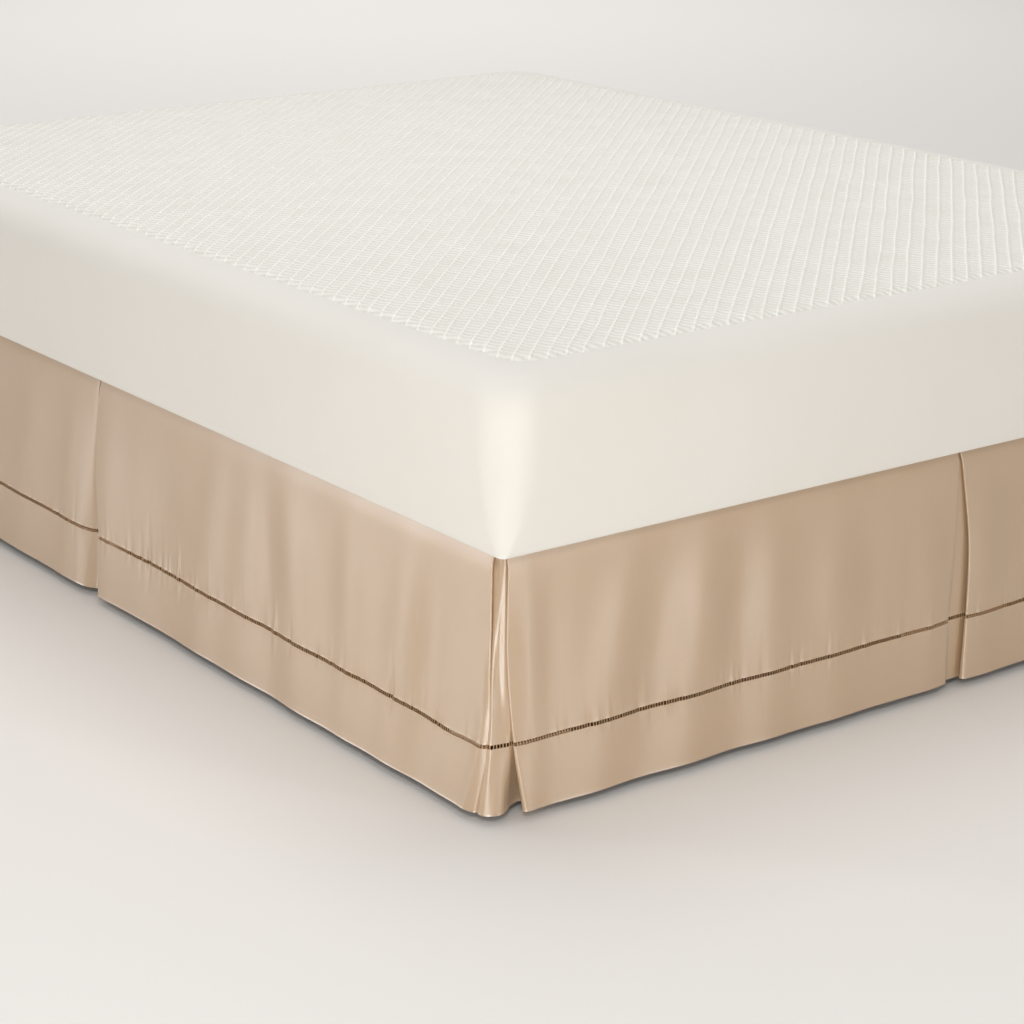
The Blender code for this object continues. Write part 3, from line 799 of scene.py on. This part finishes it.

# %% [markdown]
# ## Skirt on the frame
#
# Each sheet stands for its solid, which is hidden, and the sheet and its ladder of hemstitch are attached to the
# root of the frame.

for length in LENGTHS:
    sheet, ladder = sheets[length.node], ladders[length.node]
    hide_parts(length.node)
    for piece in (sheet, ladder):
        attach(piece, "root")

# %% [markdown]
# ## The deck cloth
#
# A flat cotton sheet lies on the base and carries the skirt. Only its edge shows, in the shadow under the
# mattress, and at the open head end. Its edges wave by a hair where the skirt is sewn on.

# %% Build the deck cloth
DECK_COLUMNS = 60
DECK_ROWS = 80
DECK_CLOTH = 0.0008


def make_deck():
    x = np.linspace(TUCK - HALF_WIDTH, HALF_WIDTH - TUCK, DECK_COLUMNS)
    y = np.linspace(TUCK - HALF_LENGTH, HALF_LENGTH, DECK_ROWS)
    flat = np.stack(np.meshgrid(x, y), axis=2)
    wave = 0.0002 * np.sin(flat[:, :, 0] * 31) * np.sin(flat[:, :, 1] * 23)
    points = np.concatenate([flat, (DECK_BOTTOM + 0.0006 + wave)[:, :, None]], axis=2)
    piece = grid_piece("deck_cloth", points, flat)
    apply_modifier(piece, "SOLIDIFY", thickness=DECK_CLOTH, offset=0)
    bpy.ops.object.shade_smooth_by_angle(angle=math.radians(40))
    return piece


def make_percale():
    """Plain-woven undyed cotton: over one, under one, matt. The threads are drawn at 1.2 mm to show."""
    material, tree, shader = start_material("cotton_percale_undyed", Roughness=0.85, IOR=1.5)
    where = add(tree, "TexCoord")
    weave = add(tree, "TexNoise", {"Vector": where.outputs["Object"], "Scale": 1 / 0.0012, "Detail": 2.0})
    mix = add(
        tree,
        "Mix",
        {"Factor": weave.outputs["Fac"], "A": colour("#D6CBB8"), "B": colour("#E4DBCB")},
        data_type="RGBA",
    )
    bump = add(tree, "Bump", {"Height": weave.outputs["Fac"], "Strength": 0.3, "Distance": 0.0004})
    finish_material(tree, shader, mix, bump)
    return material


deck_cloth = make_deck()
deck_cloth.data.materials.append(make_percale())
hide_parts("deck")
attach(deck_cloth, "root")
print("deck cloth", len(deck_cloth.data.polygons), "faces")

# %% [markdown]
# ## The mattress in its fitted protector
#
# The protector is a cream knit. Its sides are smooth and pulled tight round the mattress, soft at the upper
# corners, drawn out to a point at the lower ones, and tucked in below. They turn over the top edge to a seam
# seven centimetres in, and there the top panel starts, quilted in narrow diagonal ribs. The sides are a grid
# wrapped round the bed: a table gives its section as steps of inset, height and corner radius, and its columns
# go once round the outline.

# %% Build the protector's sides
SIDE_STEP = 0.008  # metres between columns
CORNER_STEPS = 12
SEAM_INSET = 0.072
GATHER_SPACING = 0.008
GATHER_HEIGHT = 0.0006
MIDDLE_STATION = 12  # its row gives the distance round the mattress
SECTION_COLUMN = 50  # any column on a straight stretch gives the distance down

HALF_X = MATTRESS_HIGH.x
HALF_Y = MATTRESS_HIGH.y
PANEL_EDGE_Z = MATTRESS_HIGH.z - 0.010  # the panel rises to the mattress's full height in its middle

Station = namedtuple("Station", "inset height corner gather")
WALL_TOP = PANEL_EDGE_Z - 0.040
STATION_ROWS = (
    (0.060, MATTRESS_LOW.z + 0.0030, 0.004, 0.0),
    (0.020, MATTRESS_LOW.z + 0.0006, 0.005, 0.0),
    (0.0060, MATTRESS_LOW.z + 0.0003, 0.006, 0.0),
    (0.0005, MATTRESS_LOW.z, 0.007, 0.0),
    (-0.0016, MATTRESS_LOW.z + 0.0010, 0.009, 0.0),
    (-0.0025, MATTRESS_LOW.z + 0.0030, 0.011, 0.0),
    (-0.0029, MATTRESS_LOW.z + 0.0120, 0.018, 0.0),
    (-0.0030, MATTRESS_LOW.z + 0.0300, 0.031, 0.0),
    (-0.0028, MATTRESS_LOW.z + 0.0600, 0.041, 0.0),
    (-0.0020, MATTRESS_LOW.z + 0.0900, 0.048, 0.0),
    (-0.0012, MATTRESS_LOW.z + 0.1200, 0.052, 0.0),
    (0.0000, MATTRESS_LOW.z + 0.1500, 0.052, 0.0),
    (0.0010, WALL_TOP, 0.053, 0.0),
    (0.0035, WALL_TOP + 0.0100, 0.054, 0.0),
    (0.0080, WALL_TOP + 0.0190, 0.055, 0.0),
    (0.0150, WALL_TOP + 0.0265, 0.056, 0.0),
    (0.0240, WALL_TOP + 0.0320, 0.056, 0.05),
    (0.0340, WALL_TOP + 0.0355, 0.055, 0.15),
    (0.0450, WALL_TOP + 0.0375, 0.052, 0.3),
    (0.0550, WALL_TOP + 0.0388, 0.048, 0.6),
    (0.0620, WALL_TOP + 0.0394, 0.044, 0.9),
    (0.0670, WALL_TOP + 0.0395, 0.042, 1.0),
    (0.0700, WALL_TOP + 0.0392, 0.041, 1.0),
    (0.0720, WALL_TOP + 0.0388, 0.040, 0.6),
    (0.0760, WALL_TOP + 0.0380, 0.038, 0.0),
)
STATIONS = [Station(*row) for row in STATION_ROWS]


def outline(inset, corner, z):
    """Points once round a rounded rectangle, anticlockwise from the foot end's left corner."""
    half_x, half_y = HALF_X - inset, HALF_Y - inset
    points = []
    for turn, (sign_x, sign_y) in enumerate(((-1, -1), (1, -1), (1, 1), (-1, 1))):
        middle = np.array((sign_x * (half_x - corner), sign_y * (half_y - corner)))
        for i in range(CORNER_STEPS + 1):
            angle = math.pi * (1 + turn / 2 + i / CORNER_STEPS / 2)
            points.append(middle + corner * np.array((math.cos(angle), math.sin(angle))))
        straight = HALF_X if turn % 2 == 0 else HALF_Y
        steps = round(2 * straight / SIDE_STEP)
        way = np.array(((1, 0), (0, 1), (-1, 0), (0, -1))[turn])
        run = 2 * ((half_x if turn % 2 == 0 else half_y) - corner)
        points += [points[-1] + way * run * i / steps for i in range(1, steps)]
    points.append(points[0])
    return np.array([(*p, z) for p in points])


def make_protector_sides():
    points = np.array([outline(s.inset, s.corner, s.height) for s in STATIONS])
    points = points[:, ::-1]
    middle = points[MIDDLE_STATION, :, :2]
    distance = np.concatenate([[0], np.cumsum(np.linalg.norm(np.diff(middle, axis=0), axis=1))])
    down = np.concatenate([[0], np.cumsum(np.linalg.norm(np.diff(points[:, SECTION_COLUMN], axis=0), axis=1))])
    chance = np.random.default_rng(11)
    gathers = np.zeros_like(distance)
    for place in np.arange(0, distance[-1], GATHER_SPACING):
        middle = place + chance.normal(0, GATHER_SPACING / 3)
        gathers += chance.uniform(0.3, 1.2) * np.exp(-(((distance - middle) / (GATHER_SPACING / 3)) ** 2))
    share = np.array([s.gather for s in STATIONS])
    points[:, :, 2] += GATHER_HEIGHT * share[:, None] * (gathers[None, :] - 0.6)
    points[:, -1] = points[:, 0]
    flat = np.stack(np.broadcast_arrays(distance[None, :], down[:, None]), axis=2)
    return grid_piece("protector_sides", points, flat)


protector_sides = make_protector_sides()
select_only(protector_sides)
bpy.ops.object.mode_set(mode="EDIT")
bpy.ops.mesh.select_all(action="SELECT")
bpy.ops.mesh.remove_doubles(threshold=0.0001)
bpy.ops.object.mode_set(mode="OBJECT")
bpy.ops.object.shade_smooth()
print("protector sides", len(protector_sides.data.polygons), "faces")

# %% [markdown]
# ## The quilted panel
#
# The panel is a padded layer that rises from the seam and swells a little towards the middle of the bed. Narrow
# ribs stand up from it every 20 mm and run diagonally. A mesh that carries them within reason has its rows
# along the ribs, crowded on each rib and sparse between. So a square grid is laid out along the diagonals,
# larger than the panel, and cut to the panel's outline by bisecting. Its rim dips under the seam.

# %% Build the quilted panel
RIB_SPACING = 0.0200
RIB_HEIGHT = 0.0016
# The rows of points on each rib: metres from its crest, and share of its height.
RIB_HALF = ((0.0011, 0.7), (0.0024, 0.0), (0.0068, -0.10))
RIB_ROWS = (*[(-offset, share) for offset, share in RIB_HALF[::-1]], (0.0, 1.0), *RIB_HALF)
RIB_STEP = 0.012  # metres between points along a rib
RIB_WOBBLE = 0.0007  # metres that a rib strays from its line
WOBBLE_POINTS = 8  # from one stray to the next
PANEL_CORNER = 0.040
PANEL_RISE = 0.0025
PANEL_ROLL = 0.014  # metres from its rim to its full thickness
PANEL_TUCK = 0.003  # its rim lies this far under the seam
CROWN = MATTRESS_HIGH.z - PANEL_EDGE_Z - PANEL_RISE - RIB_HEIGHT
PANEL_HALF = np.array((HALF_X - SEAM_INSET, HALF_Y - SEAM_INSET))


def from_rim(places):
    """How far each plan point is inside the panel's rounded outline. Negative is outside."""
    over = abs(places) - (PANEL_HALF - PANEL_CORNER)
    outside = np.linalg.norm(np.clip(over, 0, None), axis=-1)
    return PANEL_CORNER - outside - np.clip(over.max(axis=-1), None, 0)


def cut_away(piece, place, way):
    """Bisects a piece with a vertical plane through a plan point and deletes what lies beyond."""
    bpy.ops.mesh.select_all(action="SELECT")
    bpy.ops.mesh.bisect(plane_co=(*place, 0), plane_no=(*way, 0), clear_outer=True)


def make_panel():
    reach = PANEL_HALF.sum() / math.sqrt(2)
    ribs = np.arange(-reach, reach + RIB_SPACING, RIB_SPACING)
    across = (ribs[:, None] + np.array([offset for offset, _ in RIB_ROWS])).ravel()
    along = np.arange(-reach, reach + RIB_STEP, RIB_STEP)
    height = np.tile([share for _, share in RIB_ROWS], len(ribs))
    chance = np.random.default_rng(5)
    wobble = chance.normal(0, 1, (len(ribs), len(along) // WOBBLE_POINTS + 2))
    steps = np.arange(len(along)) / WOBBLE_POINTS
    wobble = np.array([np.interp(steps, np.arange(wobble.shape[1]), row) for row in wobble])
    wobble = RIB_WOBBLE * np.repeat(wobble, len(RIB_ROWS), axis=0)
    u, v = np.meshgrid(along, across)
    flat = np.stack([u, v + reach], axis=2)
    v = v + wobble
    places = np.stack([(u + v), (u - v)], axis=2) / math.sqrt(2)
    inside = from_rim(places)
    lift = np.sin(np.clip(inside / PANEL_ROLL, 0, 1) * math.pi / 2)
    crown = np.prod(1 - np.clip(places / PANEL_HALF, -1, 1) ** 2, axis=2)
    z = PANEL_EDGE_Z - PANEL_TUCK + (PANEL_RISE + PANEL_TUCK) * lift + CROWN * crown
    z += RIB_HEIGHT * height[:, None] * lift
    piece = grid_piece("protector_top", np.concatenate([places, z[:, :, None]], axis=2), flat)
    select_only(piece)
    bpy.ops.object.mode_set(mode="EDIT")
    for sign_x in (-1, 1):
        for sign_y in (-1, 1):
            middle = (PANEL_HALF - PANEL_CORNER) * (sign_x, sign_y)
            for degrees in (0, 22.5, 45, 67.5, 90):
                turn = math.radians(degrees)
                way = np.array((sign_x * math.cos(turn), sign_y * math.sin(turn)))
                cut_away(piece, middle + PANEL_CORNER * way, way)
    bpy.ops.mesh.select_all(action="SELECT")
    bpy.ops.mesh.normals_make_consistent(inside=False)
    bpy.ops.object.mode_set(mode="OBJECT")
    if piece.data.polygons[len(piece.data.polygons) // 2].normal.z < 0:
        bpy.ops.object.mode_set(mode="EDIT")
        bpy.ops.mesh.flip_normals()
        bpy.ops.object.mode_set(mode="OBJECT")
    bpy.ops.object.shade_smooth()
    return piece


protector_top = make_panel()
print("protector top", len(protector_top.data.polygons), "faces")

# %% [markdown]
# ## Brushed knit and ribbed quilting
#
# The sides are a fine jersey of polyester, smooth and matt with a slight bloom. The top is the same yarn knitted
# with a filling, so that narrow ribs stand up every 20 mm and run from the foot's left corner diagonally to the
# head, and between them the cloth crinkles in short ripples across. The top's colour carries painted light: the
# rib crests are painted lighter as a painted highlight, and the ripples are painted lighter on their rises and
# darker in their hollows as painted shade, over a faint yarn tone. A wave texture repeats every 2 pi / 20 over
# its scale, which gives the scale for each spacing.

# %% Materials of the protector
KNIT_CREAM = "#E5E0D8"
RIPPLE_SPACING = 0.0125
RELIEF = 0.0020  # of the ripples and yarn, which are bump alone: the mesh carries only the ribs


def wave_scale(spacing):
    return 2 * math.pi / 20 / spacing


def make_jersey():
    material, tree, shader = start_material(
        "polyester_jersey_cream", Roughness=0.7, IOR=1.45, Sheen_Weight=0.3, Sheen_Roughness=0.5
    )
    where = add(tree, "UVMap")
    stitches = add(tree, "TexNoise", {"Vector": where.outputs["UV"], "Scale": 700.0, "Detail": 2.0})
    clouds = add(tree, "TexNoise", {"Vector": where.outputs["UV"], "Scale": 4.0, "Detail": 2.0})
    mix = add(
        tree,
        "Mix",
        {"Factor": clouds.outputs["Fac"], "A": colour("#DFDAD0"), "B": colour(KNIT_CREAM)},
        data_type="RGBA",
    )
    bump = add(tree, "Bump", {"Height": stitches.outputs["Fac"], "Strength": 0.12, "Distance": 0.0004})
    finish_material(tree, shader, mix, bump)
    return material


def make_quilting():
    material, tree, shader = start_material(
        "ribbed_quilt_knit_cream", Roughness=0.7, IOR=1.5, Sheen_Weight=0.25, Sheen_Roughness=0.5
    )
    where = add(tree, "UVMap")
    slanted = add(
        tree, "Mapping", {"Vector": where.outputs["UV"], "Rotation": (0.0, 0.0, math.radians(-25))}
    )
    ripples = add(
        tree,
        "TexWave",
        {
            "Vector": slanted.outputs["Vector"],
            "Scale": wave_scale(RIPPLE_SPACING),
            "Distortion": 3.0,
            "Detail": 3.0,
            "Detail Scale": 1.5,
        },
        bands_direction="X",
    )
    patches = add(tree, "TexNoise", {"Vector": where.outputs["UV"], "Scale": 14.0, "Detail": 2.0})
    crinkle = add(tree, "Math", {0: ripples.outputs["Fac"], 1: patches.outputs["Fac"]}, operation="MULTIPLY")
    yarn = add(tree, "TexNoise", {"Vector": where.outputs["UV"], "Scale": 260.0, "Detail": 3.0})
    fine = add(tree, "Math", {0: yarn.outputs["Fac"], 1: 0.5}, operation="MULTIPLY")
    height = add(tree, "Math", {0: crinkle.outputs["Value"], 1: fine.outputs["Value"]}, operation="ADD")
    # Painted highlight: a narrow light line is painted along each rib's crest.
    ribs = add(
        tree,
        "TexWave",
        {"Vector": where.outputs["UV"], "Scale": wave_scale(RIB_SPACING), "Phase Offset": math.pi},
        bands_direction="Y",
    )
    rib_highlight = add(tree, "Math", {0: ribs.outputs["Fac"], 1: 30.0}, operation="POWER")
    rib_highlight = add(tree, "Math", {0: rib_highlight.outputs["Value"], 1: 0.6}, operation="MULTIPLY")
    # Painted shade: the relief that the bump uses also colours the ripples, lighter on their rises and darker in
    # their hollows, with the yarn's own tone in it.
    ripple_shade_and_yarn = add(tree, "Math", {0: height.outputs["Value"], 1: 0.9}, operation="MULTIPLY")
    light = add(
        tree, "Math", {0: ripple_shade_and_yarn.outputs["Value"], 1: rib_highlight.outputs["Value"]}, operation="ADD", use_clamp=True
    )
    mix = add(
        tree,
        "Mix",
        {"Factor": light.outputs["Value"], "A": colour("#D6D1C2"), "B": colour("#FAF8F2")},
        data_type="RGBA",
    )
    bump = add(tree, "Bump", {"Height": height.outputs["Value"], "Strength": 1.0, "Distance": RELIEF})
    finish_material(tree, shader, mix, bump)
    return material


protector_sides.data.materials.append(make_jersey())
protector_top.data.materials.append(make_quilting())
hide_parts("mattress")
for piece in (protector_sides, protector_top):
    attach(piece, "root")
print("ribs every", RIB_SPACING, "m")

# %% [markdown]
# ## The box base
#
# Behind the skirt stands a box covered in plain woven cloth, seen from the open head end and from low down. It
# starts as a cube at the node's place. Its edges are rounded, and an inset under it is pushed up a little, where a
# dust cover of dark non-woven cloth is tacked inside the edge.

# %% Build the base
def make_base():
    bpy.ops.object.select_all(action="DESELECT")
    bpy.ops.mesh.primitive_cube_add(size=1, location=(BASE_LOW + BASE_HIGH) / 2, scale=BASE_HIGH - BASE_LOW)
    base = bpy.context.object
    base.name = base.data.name = "base_cover"
    bpy.ops.object.transform_apply(location=True, rotation=True, scale=True)
    bpy.ops.object.mode_set(mode="EDIT")
    bpy.ops.mesh.select_all(action="SELECT")
    bpy.ops.mesh.bevel(offset=0.006, segments=4, affect="EDGES")
    bpy.ops.mesh.select_all(action="DESELECT")
    bpy.ops.object.mode_set(mode="OBJECT")
    for face in base.data.polygons:
        face.select = face.normal.z < -0.99
    bpy.ops.object.mode_set(mode="EDIT")
    bpy.ops.mesh.select_mode(type="FACE")
    bpy.ops.mesh.inset(thickness=0.018, depth=0)
    bpy.ops.mesh.inset(thickness=0.002, depth=-0.002)
    bpy.ops.object.mode_set(mode="OBJECT")
    for face in base.data.polygons:
        face.material_index = int(face.select)
    bpy.ops.object.shade_smooth_by_angle(angle=math.radians(40))
    return base


def make_upholstery(name, dark, light, thread, roughness):
    """A plain weave on Object coordinates, with its threads drawn this far apart so that they show."""
    material, tree, shader = start_material(name, Roughness=roughness, IOR=1.5)
    where = add(tree, "TexCoord")
    weave = add(
        tree,
        "TexVoronoi",
        {"Vector": where.outputs["Object"], "Scale": 1 / thread, "Randomness": 0.35},
    )
    mix = add(
        tree,
        "Mix",
        {"Factor": weave.outputs["Distance"], "A": colour(light), "B": colour(dark)},
        data_type="RGBA",
    )
    bump = add(
        tree, "Bump", {"Height": weave.outputs["Distance"], "Strength": 0.4, "Distance": 0.0005}, invert=True
    )
    finish_material(tree, shader, mix, bump)
    return material


base_cover = make_base()
base_cover.data.materials.append(make_upholstery("polyester_plain_weave_brown", "#5C3D22", "#7E5634", 0.0022, 0.85))
base_cover.data.materials.append(make_upholstery("non_woven_dust_cover", "#2E2C2A", "#45423E", 0.0016, 0.95))
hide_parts("base")
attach(base_cover, "root")
print("base", len(base_cover.data.polygons), "faces")

# %% [markdown]
# ## The feet
#
# The base stands on six turned feet of beech, stained dark. A cylinder is narrowed downwards, its ends are
# chamfered, and a shallow groove is turned below the top. One foot is made and copied to the others' places.

# %% Build the feet
GROOVE = (0.88, 0.93)  # shares of a foot's height
FOOT_NODES = [name for name in sorted(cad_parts) if name.startswith("foot_")]


def model_foot():
    low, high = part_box(FOOT_NODES[0])
    top_radius = (high.x - low.x) / 2
    height = high.z - low.z
    bpy.ops.object.select_all(action="DESELECT")
    bpy.ops.mesh.primitive_cone_add(
        vertices=64, radius1=0.75 * top_radius, radius2=top_radius, depth=height, location=(0, 0, height / 2)
    )
    foot = bpy.context.object
    bpy.ops.object.transform_apply(location=True, rotation=True, scale=True)
    bpy.ops.object.mode_set(mode="EDIT")
    bpy.ops.mesh.select_all(action="SELECT")
    for level in GROOVE:
        bpy.ops.mesh.select_all(action="SELECT")
        bpy.ops.mesh.bisect(plane_co=(0, 0, level * height), plane_no=(0, 0, 1))
    bpy.ops.mesh.select_all(action="DESELECT")
    bpy.ops.object.mode_set(mode="OBJECT")
    for face in foot.data.polygons:
        face.select = GROOVE[0] * height < face.center.z < GROOVE[1] * height and abs(face.normal.z) < 0.5
    bpy.ops.object.mode_set(mode="EDIT")
    bpy.ops.mesh.select_mode(type="FACE")
    bpy.ops.mesh.inset(thickness=0.0012, depth=-0.0015)
    bpy.ops.object.mode_set(mode="OBJECT")
    apply_modifier(foot, "BEVEL", width=0.0012, segments=2, limit_method="ANGLE", angle_limit=math.radians(50))
    bpy.ops.object.shade_smooth_by_angle(angle=math.radians(35))
    return foot


def make_beech():
    """Beech under a dark stain and satin lacquer: short flecks and a faint grain run up the turned foot."""
    material, tree, shader = start_material(
        "beech_stained_dark", Roughness=0.38, IOR=1.5, Coat_Weight=0.25, Coat_Roughness=0.25
    )
    where = add(tree, "TexCoord")
    long = add(tree, "Mapping", {"Vector": where.outputs["Object"], "Scale": (1.0, 1.0, 0.08)})
    grain = add(tree, "TexNoise", {"Vector": long.outputs["Vector"], "Scale": 500.0, "Detail": 4.0})
    mix = add(
        tree,
        "Mix",
        {"Factor": grain.outputs["Fac"], "A": colour("#2A1A10"), "B": colour("#5A3C26")},
        data_type="RGBA",
    )
    bump = add(tree, "Bump", {"Height": grain.outputs["Fac"], "Strength": 0.15, "Distance": 0.0003})
    finish_material(tree, shader, mix, bump)
    return material


pattern = model_foot()
pattern.data.materials.append(make_beech())
for node in FOOT_NODES:
    low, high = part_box(node)
    foot = pattern.copy()
    foot.data = pattern.data.copy()
    foot.name = foot.data.name = node.replace("foot", "turned_foot")
    bpy.context.collection.objects.link(foot)
    foot.location = ((low.x + high.x) / 2, (low.y + high.y) / 2, low.z)
    select_only(foot)
    bpy.ops.object.transform_apply(location=True, rotation=True, scale=True)
    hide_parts(node)
    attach(foot, "root")
bpy.data.objects.remove(pattern)
print(len(FOOT_NODES), "feet")

# %% [markdown]
# ## Floor and light
#
# The floor is plain and pale. The photograph's light is broad and soft and comes mostly from the camera's own
# side, a little above the bed, so that the near corner of the mattress is brightest and both sides fall off
# from it. Sateen shows its folds only where there is something bright to mirror, so two tall panels stand far off
# where the folds of the long side and of the foot end mirror them, and a low one near the camera does it for the
# corner. Their places and powers were matched to the photograph.

# %% Floor, lights and world
def make_floor():
    bpy.ops.object.select_all(action="DESELECT")
    bpy.ops.mesh.primitive_plane_add(size=30)
    floor = bpy.context.object
    floor.name = "floor"
    material, _, _ = start_material("floor_pale", Base_Color=colour("#EFEBE6"), Roughness=0.8)
    floor.data.materials.append(material)


def add_panel(name, place, target, size, power):
    """An area light that faces a point."""
    bpy.ops.object.select_all(action="DESELECT")
    bpy.ops.object.light_add(type="AREA", location=place)
    light = bpy.context.object
    light.name = name
    light.data.shape = "RECTANGLE"
    light.data.size, light.data.size_y = size
    light.data.energy = power
    way = np.array(target) - np.array(place)
    flat = math.hypot(way[0], way[1])
    light.rotation_euler = (math.atan2(flat, -way[2]), 0, math.atan2(-way[0], way[1]))


CORNER = (-HALF_WIDTH, -HALF_LENGTH, 0.2)
make_floor()
add_panel("key", (-2.68, -3.62, 2.8), CORNER, (0.9, 0.9), 44)
add_panel("glint", (-3.25, -3.02, 0.5), CORNER, (2.2, 0.7), 46)
add_panel("front_foot", (2.96, -8.09, 2.2), CORNER, (1.0, 2.4), 74)
add_panel("front_left", (-5.61, 5.36, 2.2), CORNER, (1.0, 2.4), 80)
add_panel("above", (0.0, 0.0, 3.4), (0.0, 0.0, 0.5), (2.0, 2.4), 42)
add_panel("behind", (3.5, 6.0, 4.5), (2.5, 5.0, 0.0), (6.0, 6.0), 200)
world = bpy.data.worlds.new("soft_room")
world.use_nodes = True
world.node_tree.nodes["Background"].inputs["Color"].default_value = colour("#FFFFFF")
world.node_tree.nodes["Background"].inputs["Strength"].default_value = 0.34
bpy.context.scene.world = world
